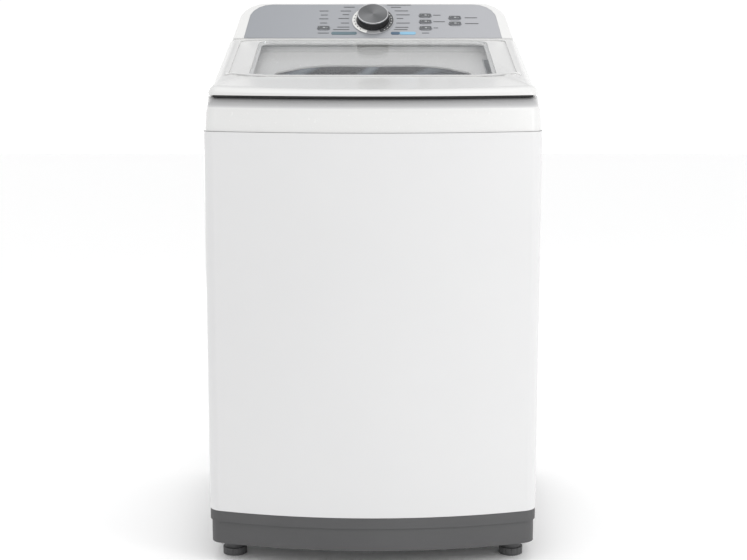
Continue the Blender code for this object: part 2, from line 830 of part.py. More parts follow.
def console_shape(name, inset):
    """The console's outer form, or the hollow inside it when the inset is a wall."""
    origin = face_origin()
    back = CONSOLE_FRONT + inset
    face_top = CONSOLE_FRONT + FACE_LENGTH * math.cos(FACE_TILT)
    low = REAR_DECK_Z + GAP - (PLASTIC_WALL if inset else 0.0)
    profile = [
        (back, low),
        (DEPTH - inset, low),
        (DEPTH - inset, HEIGHT - inset),
        (face_top + inset * 0.3, HEIGHT - inset),
        (back, origin.z - inset * 0.8),
    ]
    side = profile_block(name, profile, HALF_WIDTH)
    shoulder_z = HEIGHT - SHOULDER_DROP
    outline = [(CONSOLE_HALF_BASE - inset, low - GAP), (CONSOLE_HALF_SHOULDER - inset, shoulder_z)]
    for step in range(1, CORNER_STEPS + 1):
        angle = math.pi / 2 * step / CORNER_STEPS
        x = CONSOLE_HALF_SHOULDER - inset - TOP_CORNER_WIDTH * (1 - math.cos(angle))
        outline.append((x, shoulder_z + (SHOULDER_DROP + GAP - inset) * math.sin(angle)))
    outline += [(-x, z) for x, z in reversed(outline)]
    front = loft(name + "_front", [[(x, y, z) for x, z in outline] for y in (0.0, REAR_Y + GAP)])
    keep_inside(side, front)
    return side


def settled(obj):
    """Turns an object and its modifiers into a plain mesh object, for use as a cutter."""
    CUTTERS.objects.link(obj)
    bpy.context.view_layer.update()
    graph = bpy.context.evaluated_depsgraph_get()
    mesh = bpy.data.meshes.new_from_object(obj.evaluated_get(graph))
    result = bpy.data.objects.new(obj.name, mesh)
    result.matrix_world = obj.matrix_world.copy()
    bpy.data.objects.remove(obj, do_unlink=True)
    return result


def fascia_outline(grow):
    """The fascia in the face's own axes: wide at the bottom, with large upper corners."""
    top = FACE_LENGTH - FASCIA_MARGIN + grow
    corner_y = top - FASCIA_CORNER
    half_top = FASCIA_HALF_TOP + grow
    right = [(FASCIA_HALF_BASE + grow, -grow), (half_top, corner_y)]
    for step in range(1, CORNER_STEPS + 1):
        angle = math.pi / 2 * step / CORNER_STEPS
        x = half_top - FASCIA_CORNER * (1 - math.cos(angle))
        right.append((x, corner_y + FASCIA_CORNER * math.sin(angle)))
    return right + [(-x, y) for x, y in reversed(right)]


def face_slab(name, outline, low, high):
    return loft(name, [[(x, y, z) for x, y in outline] for z in (low, high)])


def pill(half_width, half_height, centre):
    """A button's outline with round ends."""
    points = []
    straight = half_width - half_height
    for end, start in ((1, -math.pi / 2), (-1, math.pi / 2)):
        for step in range(CORNER_STEPS + 1):
            angle = start + math.pi * step / CORNER_STEPS
            x = centre[0] + end * straight + half_height * math.cos(angle)
            points.append((x, centre[1] + half_height * math.sin(angle)))
    return points


def button_cutters(frame, tag):
    """One cutter for each control, in the face's axes."""
    deep = 6 * FASCIA_THICKNESS
    made = []
    for name, centre in BUTTONS.items():
        size = [half / 2 + BUTTON_CLEARANCE for half in BUTTON_SIZE]
        made.append(face_slab(name + tag, pill(*size, centre), -deep, deep))
    made.append(hole("shaft_hole" + tag, ENCODER_SHAFT_RADIUS + 2 * GAP, 2 * deep, (0.0, KNOB_UP, 0.0)))
    for obj in made:
        hold(obj, frame)
    return made


def make_console(frame):
    housing = console_shape("console_housing", 0.0)
    cut(housing, settled(console_shape("console_hollow", PLASTIC_WALL)))
    recess = face_slab("fascia_recess", fascia_outline(GAP), -FASCIA_THICKNESS - GAP, FASCIA_THICKNESS)
    hold(recess, frame)
    cut(housing, recess, *button_cutters(frame, "_wall"))
    place(housing, WHITE_PLASTIC)
    fascia = face_slab("console_fascia", fascia_outline(0.0), -FASCIA_THICKNESS, 0.0)
    hold(fascia, frame)
    cut(fascia, *button_cutters(frame, "_face"))
    place(fascia, SILVER_PLASTIC)


def make_controls(frame):
    board_top = -BOARD_DEPTH + BOARD_SIZE[2] / 2
    board = box("control_board", BOARD_SIZE, (BOARD_X, KNOB_UP, -BOARD_DEPTH))
    encoder_z = board_top + GAP + ENCODER_SIZE[2] / 2
    encoder = box("programme_encoder", ENCODER_SIZE, (0.0, KNOB_UP, encoder_z))
    shaft_top = KNOB_SKIRT + GAP
    shaft_length = shaft_top - encoder_z
    shaft_middle = (0.0, KNOB_UP, encoder_z + shaft_length / 2)
    join(encoder, rod("encoder_shaft", ENCODER_SHAFT_RADIUS, shaft_length, shaft_middle))
    encoder_parts = (board, encoder, encoder.modifiers[0].object)
    for obj in encoder_parts:
        hold(obj, frame)
    place(board, BOARD_GREEN)
    place(encoder, ZINC)
    for name, centre in BUTTONS.items():
        size = [half / 2 for half in BUTTON_SIZE]
        button = face_slab(name, pill(*size, centre), -FASCIA_THICKNESS, BUTTON_HEIGHT)
        hold(button, frame)
        stem_low = board_top + STEM_ABOVE_BOARD
        stem_middle = (*centre, stem_low / 2)
        stem = rod(name + "_stem", FASCIA_THICKNESS, -stem_low, stem_middle, steps=STEM_STEPS)
        hold(stem, frame)
        join(button, stem)
        place(button, SILVER_PLASTIC)


def make_knob(frame):
    """A ring around the dial, a skirted knob that turns inside it, and a metal cap."""
    bottom = DIAL_THICKNESS + 3 * GAP
    cap_top = KNOB_HEIGHT
    cap_low = cap_top - CAP_THICKNESS
    dial = [
        (DIAL_RADIUS - GAP, DIAL_THICKNESS + GAP),
        (DIAL_RADIUS, GAP),
        (KNOB_RADIUS + GAP, GAP),
        (KNOB_RADIUS + GAP, DIAL_THICKNESS + GAP),
    ]
    bore = ENCODER_SHAFT_RADIUS + GAP
    bore_top = KNOB_SKIRT + 3 * GAP
    knob = [
        (0.0, cap_low - GAP),
        (CAP_RADIUS, cap_low - GAP),
        (CAP_RADIUS + GAP, bottom + KNOB_SKIRT),
        (KNOB_RADIUS, bottom),
        (bore, bottom),
        (bore, bore_top),
        (0.0, bore_top),
    ]
    cap = [(0.0, cap_top), (CAP_RADIUS - CAP_THICKNESS / 3, cap_top), (CAP_RADIUS, cap_low), (0.0, cap_low)]
    place_at = (0.0, KNOB_UP, 0.0)
    for name, profile, closed, look in (
        ("dial_ring", dial, True, BLACK_PLASTIC),
        ("programme_knob", knob, False, BLACK_PLASTIC),
        ("knob_cap", cap, False, CAP_METAL),
    ):
        piece = turned(name, profile, closed, centre=place_at)
        hold(piece, frame)
        place(piece, look)


# ---- Tub and its suspension ----


def rod_places():
    return {
        "front_left": (-ROD_X, DRUM_Y - ROD_Y),
        "front_right": (ROD_X, DRUM_Y - ROD_Y),
        "rear_left": (-ROD_X, DRUM_Y + ROD_Y),
        "rear_right": (ROD_X, DRUM_Y + ROD_Y),
    }


def make_outer_tub():
    """A tub with a drilled floor and four lugs that sit on the suspension springs."""
    bore = SHAFT_RADIUS + TUBE_WALL + 3 * RUNNING_GAP
    inner = TUB_RADIUS - TUB_WALL
    profile = [
        (inner, TUB_TOP),
        (TUB_RADIUS, TUB_TOP),
        (TUB_RADIUS, TUB_BOTTOM),
        (bore, TUB_BOTTOM),
        (bore, TUB_BOTTOM + TUB_FLOOR),
        (inner, TUB_BOTTOM + TUB_FLOOR),
    ]
    tub = turned("outer_tub", profile, closed=True, centre=(0.0, DRUM_Y, 0.0))
    lug_z = TUB_BOTTOM + GAP + LUG_THICKNESS / 2
    start = TUB_RADIUS - 2 * TUB_WALL / 3
    length = math.hypot(ROD_X, ROD_Y) + LUG_PAST_ROD - start
    reach = start + length / 2
    for corner, (x, y) in rod_places().items():
        angle = math.atan2(y - DRUM_Y, x)
        middle = (reach * math.cos(angle), DRUM_Y + reach * math.sin(angle), lug_z)
        lug = box("lug_" + corner, (length, LUG_WIDTH, LUG_THICKNESS), middle)
        lug.rotation_euler = (0.0, 0.0, angle)
        join(tub, lug)
    for corner, (x, y) in rod_places().items():
        cut(tub, hole("lug_hole_" + corner, LUG_HOLE, 4 * LUG_THICKNESS, (x, y, lug_z)))
    return place(tub, LIGHT_PLASTIC)


def make_tub_cover():
    profile = [
        (TUB_COVER_INNER, TUB_COVER_TOP),
        (TUB_RADIUS, TUB_COVER_TOP),
        (TUB_RADIUS, TUB_TOP + GAP),
        (TUB_RADIUS - TUB_WALL, TUB_TOP + GAP),
        (TUB_RADIUS - TUB_WALL, TUB_COVER_TOP - TUB_COVER_SKIRT),
        (TUB_COVER_INNER, TUB_COVER_TOP - TUB_COVER_SKIRT),
    ]
    place(turned("tub_cover", profile, closed=True, centre=(0.0, DRUM_Y, 0.0)), DARK_GLOSS)


def make_suspension():
    """At each corner: a bracket on the cabinet's side, a hung rod, and a spring under the tub's lug."""
    bracket_top = BRACKET_Z + BRACKET_THICKNESS / 2
    bead = 2 * ROD_RADIUS
    rod_profile = [
        (0.0, bracket_top + GAP + bead),
        (bead * 0.7, bracket_top + GAP + bead),
        (bead, bracket_top + GAP),
        (ROD_RADIUS, bracket_top + GAP),
        (ROD_RADIUS, ROD_CAP_Z + ROD_CAP_THICKNESS),
        (ROD_CAP_RADIUS, ROD_CAP_Z + ROD_CAP_THICKNESS),
        (ROD_CAP_RADIUS, ROD_CAP_Z),
        (0.0, ROD_CAP_Z),
    ]
    inner_face = HALF_WIDTH - SHEET - GAP
    bracket_length = inner_face - ROD_X + BRACKET_PAST_ROD
    bracket_size = (bracket_length, BRACKET_WIDTH, BRACKET_THICKNESS)
    for corner, (x, y) in rod_places().items():
        rod_name = "suspension_rod_" + corner
        place(turned(rod_name, rod_profile, steps=SMALL_STEPS, centre=(x, y, 0.0)), STEEL)
        centre_x = math.copysign(inner_face - bracket_length / 2, x)
        bracket = box("corner_bracket_" + corner, bracket_size, (centre_x, y, BRACKET_Z))
        bore = hole("rod_hole_" + corner, ROD_RADIUS + GAP, 4 * BRACKET_THICKNESS, (x, y, BRACKET_Z))
        cut(bracket, bore)
        place(bracket, ZINC)
        make_spring(corner, x, y)


def make_spring(corner, x, y):
    low = ROD_CAP_Z + ROD_CAP_THICKNESS + SPRING_WIRE + GAP
    high = TUB_BOTTOM - SPRING_WIRE
    count = SPRING_TURNS * SPRING_STEPS
    curve = bpy.data.curves.new("suspension_spring_" + corner, "CURVE")
    curve.dimensions = "3D"
    curve.bevel_depth = SPRING_WIRE
    curve.bevel_resolution = 2
    curve.use_fill_caps = True
    spline = curve.splines.new("POLY")
    spline.points.add(count)
    for index, point in enumerate(spline.points):
        angle = 2 * math.pi * index / SPRING_STEPS
        height = low + (high - low) * index / count
        point.co = (SPRING_RADIUS * math.cos(angle), SPRING_RADIUS * math.sin(angle), height, 1.0)
    spring = bpy.data.objects.new(curve.name, curve)
    spring.location = (x, y, 0.0)
    place(spring, STEEL)


# ---- Basket, pulsator and drive ----


def make_basket():
    inner = BASKET_RADIUS - BASKET_WALL
    shaft_hole = SHAFT_RADIUS + 4 * RUNNING_GAP
    floor = BASKET_BOTTOM + BASKET_WALL
    shell = [
        (inner, BASKET_TOP),
        (BASKET_RADIUS, BASKET_TOP),
        (BASKET_RADIUS, BASKET_BOTTOM),
        (shaft_hole, BASKET_BOTTOM),
        (shaft_hole, floor),
        (inner, floor),
    ]
    ring_low = BASKET_TOP + GAP
    ring_top = ring_low + RING_HEIGHT
    edge = RING_EDGE
    ring = [
        (RING_INNER + edge, ring_top),
        (RING_OUTER - edge, ring_top),
        (RING_OUTER, ring_top - edge),
        (RING_OUTER, ring_low),
        (RING_INNER, ring_low),
        (RING_INNER, ring_top - edge),
    ]
    tube_outer = SHAFT_RADIUS + TUBE_WALL
    hub_top = BASKET_BOTTOM - GAP
    bore = SHAFT_RADIUS + RUNNING_GAP
    hub = [
        (bore, hub_top),
        (HUB_RADIUS, hub_top),
        (HUB_RADIUS, hub_top - HUB_THICKNESS),
        (tube_outer, hub_top - HUB_THICKNESS),
        (tube_outer, CLUTCH_BOTTOM + HUB_THICKNESS),
        (bore, CLUTCH_BOTTOM + HUB_THICKNESS),
    ]
    axis = (0.0, DRUM_Y, 0.0)
    place(turned("wash_basket", shell, closed=True, centre=axis), STEEL)
    place(turned("balance_ring", ring, closed=True, centre=axis), LIGHT_PLASTIC)
    place(turned("basket_hub", hub, closed=True, centre=axis), CAST_ALLOY)
    flat = inner * math.cos(math.pi / TURN_STEPS)
    filter_y = DRUM_Y + math.sqrt(flat**2 - (FILTER_SIZE[0] / 2) ** 2) - FILTER_SIZE[1] / 2 - GAP
    lint = box("lint_filter", FILTER_SIZE, (0.0, filter_y, BASKET_TOP - FILTER_SIZE[2]))
    bevel(lint, FILTER_EDGE)
    place(lint, LIGHT_PLASTIC)


def make_pulsator():
    """A shallow crowned disc with raised vanes, seated on the wash shaft."""
    floor = BASKET_BOTTOM + BASKET_WALL + 4 * GAP
    shaft_top = floor + PULSATOR_CROWN - PULSATOR_EDGE
    bore = SHAFT_RADIUS + GAP
    profile = [
        (0.0, floor + PULSATOR_CROWN),
        (PULSATOR_RADIUS * 0.25, floor + PULSATOR_CROWN),
        (PULSATOR_RADIUS * 0.45, floor + PULSATOR_SHOULDER),
        (PULSATOR_RADIUS * 0.90, floor + PULSATOR_EDGE),
        (PULSATOR_RADIUS, floor + PULSATOR_RIM),
        (PULSATOR_RADIUS, floor),
        (bore, floor),
        (bore, shaft_top),
        (0.0, shaft_top),
    ]
    axis = Vector((0.0, DRUM_Y, 0.0))
    pulsator = turned("pulsator", profile, centre=axis)
    for index in range(VANES):
        turn = Matrix.Rotation(2 * math.pi * index / VANES, 3, "Z")
        reach = Vector((VANE_MIDDLE, 0.0, floor + VANE_HEIGHT / 2 + GAP))
        vane = box("vane_" + str(index), (VANE_LENGTH, VANE_WIDTH, VANE_HEIGHT), axis + turn @ reach)
        vane.rotation_euler = (0.0, 0.0, 2 * math.pi * index / VANES)
        join(pulsator, vane)
    place(pulsator, LIGHT_PLASTIC)
    low = PULLEY_Z - 2 * FLANGE_THICKNESS
    length = shaft_top - GAP - low
    place(rod("wash_shaft", SHAFT_RADIUS, length, (0.0, DRUM_Y, low + length / 2)), STEEL)


def pulley_profile(radius, bore, hub_low, hub_high):
    """A flat belt pulley with two flanges."""
    flange = radius + FLANGE_RISE
    top = PULLEY_Z + PULLEY_HEIGHT
    return [
        (bore, hub_high),
        (bore + FLANGE_RISE, hub_high),
        (bore + FLANGE_RISE, top),
        (flange, top),
        (flange, top - FLANGE_THICKNESS),
        (radius, top - FLANGE_THICKNESS),
        (radius, PULLEY_Z + FLANGE_THICKNESS),
        (flange, PULLEY_Z + FLANGE_THICKNESS),
        (flange, PULLEY_Z),
        (bore, hub_low),
    ]


def belt_loop(grow):
    """The belt's path round both pulleys, in plan, with its facets outside the true circles."""
    big = PULLEY_RADIUS + grow
    small = MOTOR_PULLEY_RADIUS + grow
    lean = math.asin((big - small) / MOTOR_DISTANCE)
    points = []
    for radius, y, start, sweep in (
        (small, DRUM_Y + MOTOR_DISTANCE, lean, math.pi - 2 * lean),
        (big, DRUM_Y, math.pi - lean, math.pi + 2 * lean),
    ):
        turn = sweep / (TURN_STEPS // 2)
        reach = radius / math.cos(turn / 2)
        for step in range(TURN_STEPS // 2 + 1):
            angle = start + turn * step
            points.append((reach * math.cos(angle), y + reach * math.sin(angle)))
    return points


def make_drive():
    """Clutch, pulleys, belt and motor, all hung under the tub."""
    axis = (0.0, DRUM_Y, 0.0)
    motor_axis = (0.0, DRUM_Y + MOTOR_DISTANCE, 0.0)
    clutch_bore = SHAFT_RADIUS + TUBE_WALL + RUNNING_GAP
    clutch_top = TUB_BOTTOM - GAP
    clutch = [
        (clutch_bore, clutch_top),
        (CLUTCH_FLANGE, clutch_top),
        (CLUTCH_FLANGE, clutch_top - HUB_THICKNESS),
        (CLUTCH_RADIUS, clutch_top - HUB_THICKNESS),
        (CLUTCH_RADIUS, CLUTCH_BOTTOM + HUB_THICKNESS * 2),
        (CLUTCH_NECK, CLUTCH_BOTTOM),
        (clutch_bore, CLUTCH_BOTTOM),
    ]
    place(turned("gear_clutch", clutch, closed=True, centre=axis), CAST_ALLOY)
    hub_high = PULLEY_Z + PULLEY_HEIGHT + FLANGE_THICKNESS
    shaft_bore = SHAFT_RADIUS + GAP
    pulley = pulley_profile(PULLEY_RADIUS, shaft_bore, PULLEY_Z, hub_high)
    place(turned("clutch_pulley", pulley, closed=True, centre=axis), CAST_ALLOY)
    motor_low = hub_high + FLANGE_THICKNESS
    shaft_top = motor_low + MOTOR_RADIUS
    small = pulley_profile(MOTOR_PULLEY_RADIUS, MOTOR_SHAFT_RADIUS - FLANGE_RISE, PULLEY_Z, shaft_top)
    small[0] = (0.0, shaft_top)
    small[-1] = (0.0, PULLEY_Z)
    place(turned("motor_pulley", small, steps=TURN_STEPS, centre=motor_axis), CAST_ALLOY)
    bore = MOTOR_SHAFT_RADIUS + RUNNING_GAP
    motor_top = TUB_BOTTOM - GAP
    motor = [
        (0.0, motor_top),
        (MOTOR_FLANGE, motor_top),
        (MOTOR_FLANGE, motor_top - HUB_THICKNESS),
        (MOTOR_RADIUS, motor_top - HUB_THICKNESS),
        (MOTOR_RADIUS, motor_low + HUB_THICKNESS),
        (MOTOR_NOSE, motor_low),
        (bore, motor_low),
        (bore, shaft_top + RUNNING_GAP),
        (0.0, shaft_top + RUNNING_GAP),
    ]
    place(turned("drive_motor", motor, steps=TURN_STEPS, centre=motor_axis), ZINC)
    belt_low = PULLEY_Z + FLANGE_THICKNESS + GAP
    belt_high = PULLEY_Z + PULLEY_HEIGHT - FLANGE_THICKNESS - GAP
    inner = belt_loop(GAP)
    outer = belt_loop(GAP + BELT_THICKNESS)
    rings = [
        at_height(outer, belt_low),
        at_height(outer, belt_high),
        at_height(inner, belt_high),
        at_height(inner, belt_low),
    ]
    place(loft("drive_belt", rings, looped=True), RUBBER)


# ---- Services ----


def make_detergent_tray():
    """An open tray that drops into the deck and lifts out."""
    (x0, y0), (x1, y1) = TRAY_LOW, TRAY_HIGH

    def corners(inset):
        plan = [(x0, y0), (x1, y0), (x1, y1), (x0, y1)]
        middle = ((x0 + x1) / 2, (y0 + y1) / 2)
        return [
            (x - math.copysign(inset, x - middle[0]), from_front(y - math.copysign(inset, y - middle[1])))
            for x, y in plan
        ]

    rings = [
        at_height(corners(0.0), lambda back: deck_height(back) - TRAY_DEPTH),
        at_height(corners(0.0), deck_height),
        at_height(corners(TRAY_WALL), deck_height),
        at_height(corners(TRAY_WALL), lambda back: deck_height(back) - TRAY_DEPTH + TRAY_WALL),
    ]
    place(loft("detergent_tray", rings), LIGHT_PLASTIC)


def make_inlet_valve():
    """A valve body in the rear compartment, with its threaded stub through the rear wall."""
    wall_y = REAR_Y - COVER_REAR_INSET - PLASTIC_WALL
    body_y = wall_y - GAP - VALVE_SIZE[1] / 2
    valve = box("inlet_valve", VALVE_SIZE, (VALVE_X, body_y, VALVE_Z))
    stub_low = body_y
    length = REAR_Y - GAP - stub_low
    middle = (VALVE_X, stub_low + length / 2, VALVE_Z)
    join(valve, rod("valve_stub", VALVE_STUB_RADIUS, length, middle, "Y"))
    place(valve, LIGHT_PLASTIC)


def make_rear_fitting(name, x, z, radius, flange, stand_out, bore):
    """A flanged fitting through the rear panel, open along its bore."""
    outside = CABINET_REAR + 2 * GAP + SHEET
    through = 3 * PLASTIC_WALL
    profile = [
        (bore, outside + stand_out),
        (radius, outside + stand_out),
        (radius, outside + PLASTIC_WALL / 2),
        (flange, outside + PLASTIC_WALL / 2),
        (flange, outside),
        (radius, outside),
        (radius, outside - through),
        (bore, outside - through),
    ]
    fitting = turned(name, profile, closed=True, steps=SMALL_STEPS)
    fitting.rotation_euler = (-math.pi / 2, 0.0, 0.0)
    fitting.location = (x, 0.0, z)
    place(fitting, BLACK_PLASTIC)


def make_drain_pump():
    """A pump on the tub's floor, with a side outlet towards the rear."""
    x, y = PUMP_PLACE
    top = TUB_BOTTOM - GAP
    profile = [
        (0.0, top),
        (PUMP_RADIUS, top),
        (PUMP_RADIUS, top - PUMP_HEIGHT / 2),
        (PUMP_NOSE_RADIUS, top - PUMP_HEIGHT / 2),
        (PUMP_NOSE_RADIUS, top - PUMP_HEIGHT),
        (0.0, top - PUMP_HEIGHT),
    ]
    pump = turned("drain_pump", profile, steps=SMALL_STEPS, centre=(x, y, 0.0))
    spout_middle = (x - PUMP_SPOUT_LENGTH / 2, y, top - PUMP_HEIGHT / 4)
    join(pump, rod("pump_spout", PUMP_SPOUT_RADIUS, PUMP_SPOUT_LENGTH, spout_middle, "X"))
    place(pump, GREY_PLASTIC)


def make_lid_switch():
    back = RECESS_REAR - SWITCH_FROM_RECESS_REAR
    length, width, height = SWITCH_SIZE
    top = deck_height(back - width) - 2 * PLASTIC_WALL
    x = -HALF_WIDTH + 2 * RIM_INSET + length / 2
    place(box("lid_switch", SWITCH_SIZE, (x, from_front(back), top - height / 2)), BLACK_PLASTIC)


def make_machine():
    make_cabinet()
    make_rear_panel()
    make_plinth()
    make_feet()
    make_top_cover()
    make_drum_collar()
    make_lid_frame()
    make_lid_window()
    make_hinge_pins()
    make_bumpers()
    frame = make_face_frame()
    make_console(frame)
    make_controls(frame)
    make_knob(frame)
    make_outer_tub()
    make_tub_cover()
    make_suspension()
    make_basket()
    make_pulsator()
    make_drive()
    make_detergent_tray()
    make_inlet_valve()
    panel_reach = REAR_Y - CABINET_REAR - 2 * GAP - SHEET
    make_rear_fitting(
        "cord_gland", GLAND_X, GLAND_Z, GLAND_RADIUS, GLAND_FLANGE, PLASTIC_WALL, GLAND_RADIUS / 2
    )
    drain_bore = DRAIN_RADIUS - PLASTIC_WALL
    make_rear_fitting(
        "drain_port", DRAIN_X, DRAIN_Z, DRAIN_RADIUS, DRAIN_FLANGE, panel_reach - GAP, drain_bore
    )
    make_drain_pump()
    make_lid_switch()


make_machine()
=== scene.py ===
# %% [markdown]
# A top-loading washing machine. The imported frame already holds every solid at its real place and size, so
# nothing is fitted by eye here: each step takes one piece of the machine, says what it is and what it is
# made of, and gives it its finish or a finer form.

# %% Load the frame
import math

import bpy
from mathutils import Matrix, Vector


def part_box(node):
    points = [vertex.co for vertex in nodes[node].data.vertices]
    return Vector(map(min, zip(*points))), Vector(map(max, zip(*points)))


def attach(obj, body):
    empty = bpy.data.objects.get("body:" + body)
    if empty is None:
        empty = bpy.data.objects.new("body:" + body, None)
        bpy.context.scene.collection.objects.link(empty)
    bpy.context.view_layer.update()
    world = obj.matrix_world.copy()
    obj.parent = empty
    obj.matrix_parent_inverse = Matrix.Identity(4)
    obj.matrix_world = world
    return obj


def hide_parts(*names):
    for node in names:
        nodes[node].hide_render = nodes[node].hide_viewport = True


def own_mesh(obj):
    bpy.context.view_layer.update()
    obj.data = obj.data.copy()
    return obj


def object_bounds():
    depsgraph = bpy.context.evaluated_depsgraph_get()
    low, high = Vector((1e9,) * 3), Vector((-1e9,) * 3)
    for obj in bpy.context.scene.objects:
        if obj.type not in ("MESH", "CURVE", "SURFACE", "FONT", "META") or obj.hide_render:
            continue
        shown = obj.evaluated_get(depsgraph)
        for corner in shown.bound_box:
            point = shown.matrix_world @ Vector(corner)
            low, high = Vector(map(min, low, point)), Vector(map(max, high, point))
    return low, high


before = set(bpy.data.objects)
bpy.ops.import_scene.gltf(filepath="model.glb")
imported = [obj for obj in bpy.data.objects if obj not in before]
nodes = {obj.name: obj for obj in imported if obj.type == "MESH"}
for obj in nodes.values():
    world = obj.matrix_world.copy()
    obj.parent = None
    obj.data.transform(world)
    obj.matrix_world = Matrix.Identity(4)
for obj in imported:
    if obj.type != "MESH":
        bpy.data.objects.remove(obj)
cad_low, cad_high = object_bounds()
CORNERS = ("front_left", "front_right", "rear_left", "rear_right")
print("frame:", len(nodes), "nodes,", [round(v, 3) for v in cad_low], [round(v, 3) for v in cad_high])

# %% [markdown]
# The camera stands two and a half metres in front, a little below the console's top, and looks slightly
# down. A long lens keeps the cabinet's sides nearly upright.

# %% Camera
CAMERA_DISTANCE = 2.469
CAMERA_HEIGHT = 0.930
CAMERA_SIDE = 0.0012
CAMERA_PITCH = math.radians(9.73)
LENS_MM = 72.53

camera = bpy.data.objects.new("camera", bpy.data.cameras.new("camera"))
bpy.context.scene.collection.objects.link(camera)
camera.data.lens = LENS_MM
camera.location = (CAMERA_SIDE, cad_low.y - CAMERA_DISTANCE, CAMERA_HEIGHT)
camera.rotation_euler = (math.pi / 2 - CAMERA_PITCH, 0.0, 0.0)
bpy.context.scene.camera = camera
bpy.context.scene.view_settings.view_transform = "Standard"
print("camera at", [round(v, 3) for v in camera.location])

# %% [markdown]
# White enamel looks white when most of its light comes from all round. So the room itself gives an even
# white light, and a few large soft lamps add the gentle brightening towards the right and the glint along
# the edges. High up behind the machine the room is greyer, as a grey card would make it, so that the
# glass in the lid mirrors less of it and what lies below can be seen.

# %% Soft studio light
def area_light(name, place, target, size, power):
    lamp = bpy.data.objects.new(name, bpy.data.lights.new(name, "AREA"))
    bpy.context.scene.collection.objects.link(lamp)
    lamp.data.shape = "RECTANGLE"
    lamp.data.size, lamp.data.size_y = size
    lamp.data.energy = power
    lamp.location = place
    lamp.rotation_euler = (Vector(target) - Vector(place)).to_track_quat("-Z", "Y").to_euler()


MIDDLE = (0.0, 0.0, 0.5)
area_light("key", (1.55, -1.25, 1.35), (0.15, -0.3, 0.6), (0.7, 1.5), 9)
area_light("overhead", (0.0, 0.1, 3.0), (0.0, 0.0, 0.9), (2.4, 1.2), 6)
area_light("rear", (-1.4, 2.4, 0.7), MIDDLE, (1.6, 0.8), 8)

ROOM_STRENGTH = 1.05
CARD_DIRECTION = (0.0, 0.83, 0.56)
CARD_EDGE = (0.92, 0.965)
world = bpy.data.worlds.new("studio")
bpy.context.scene.world = world
world.use_nodes = True
room = world.node_tree
room.nodes["Background"].inputs["Strength"].default_value = ROOM_STRENGTH
heading = room.nodes.new("ShaderNodeTexCoord")
towards = room.nodes.new("ShaderNodeVectorMath")
towards.operation = "DOT_PRODUCT"
towards.inputs[1].default_value = CARD_DIRECTION
room.links.new(heading.outputs["Generated"], towards.inputs[0])
shade = room.nodes.new("ShaderNodeMapRange")
shade.interpolation_type = "SMOOTHSTEP"
shade.inputs["From Min"].default_value = CARD_EDGE[0]
shade.inputs["From Max"].default_value = CARD_EDGE[1]
room.links.new(towards.outputs["Value"], shade.inputs["Value"])
tone = room.nodes.new("ShaderNodeValToRGB")
tone.color_ramp.elements[0].color = (1.0, 1.0, 1.0, 1.0)
tone.color_ramp.elements[1].color = (0.55, 0.55, 0.56, 1.0)
room.links.new(shade.outputs["Result"], tone.inputs["Fac"])
room.links.new(tone.outputs["Color"], room.nodes["Background"].inputs["Color"])

# %% Pale floor
FLOOR_SIZE = 16.0
FLOOR_BELOW = 0.0004


def finish_floor():
    bpy.ops.mesh.primitive_plane_add(size=FLOOR_SIZE, location=(0.0, 0.0, -FLOOR_BELOW))
    floor = bpy.context.active_object
    floor.name = "floor"
    look = bpy.data.materials.new("pale_floor")
    look.use_nodes = True
    tree = look.node_tree
    shader = tree.nodes["Principled BSDF"]
    shader.inputs["Roughness"].default_value = 0.6
    mottle = tree.nodes.new("ShaderNodeTexNoise")
    mottle.inputs["Scale"].default_value = 0.8
    tones = tree.nodes.new("ShaderNodeValToRGB")
    tones.color_ramp.elements[0].color = (0.985, 0.985, 0.985, 1.0)
    tones.color_ramp.elements[1].color = (0.992, 0.992, 0.992, 1.0)
    tree.links.new(mottle.outputs["Fac"], tones.inputs["Fac"])
    tree.links.new(tones.outputs["Color"], shader.inputs["Base Color"])
    floor.data.materials.append(look)


finish_floor()
print("lights and floor are set")

# %% [markdown]
# Every operator in Blender acts on what is selected. These small tools select one object, or some of its
# faces or edges by their place and direction, and finish a piece: its place goes into its mesh, doubled
# corners are merged, and its faces are turned outwards.

# %% Tools for selecting and finishing
MERGE_DISTANCE = 0.000005


def only(obj):
    """Makes one object active and alone in the selection."""
    if bpy.context.mode != "OBJECT":
        bpy.ops.object.mode_set(mode="OBJECT")
    bpy.ops.object.select_all(action="DESELECT")
    obj.select_set(True)
    bpy.context.view_layer.objects.active = obj
    return obj


def pick_faces(obj, test):
    """Selects the faces whose centre and normal pass a test, and stays in edit mode."""
    only(obj)
    bpy.ops.object.mode_set(mode="EDIT")
    bpy.ops.mesh.select_mode(type="FACE")
    bpy.ops.mesh.select_all(action="DESELECT")
    bpy.ops.object.mode_set(mode="OBJECT")
    for face in obj.data.polygons:
        face.select = bool(test(face.center, face.normal))
    bpy.ops.object.mode_set(mode="EDIT")


def pick_listed(obj, listed):
    """Selects the faces of these numbers, and stays in edit mode."""
    pick_faces(obj, lambda centre, normal: False)
    bpy.ops.object.mode_set(mode="OBJECT")
    for face in obj.data.polygons:
        face.select = face.index in listed
    bpy.ops.object.mode_set(mode="EDIT")


def pick_edges(obj, test):
    """Selects the edges whose two ends pass a test, and stays in edit mode."""
    only(obj)
    bpy.ops.object.mode_set(mode="EDIT")
    bpy.ops.mesh.select_mode(type="EDGE")
    bpy.ops.mesh.select_all(action="DESELECT")
    bpy.ops.object.mode_set(mode="OBJECT")
    corners = obj.data.vertices
    for edge in obj.data.edges:
        edge.select = bool(test(corners[edge.vertices[0]].co, corners[edge.vertices[1]].co))
    bpy.ops.object.mode_set(mode="EDIT")


def apply_all(obj):
    """Applies all the modifiers, in their order."""
    only(obj)
    for step in list(obj.modifiers):
        bpy.ops.object.modifier_apply(modifier=step.name)
    return obj


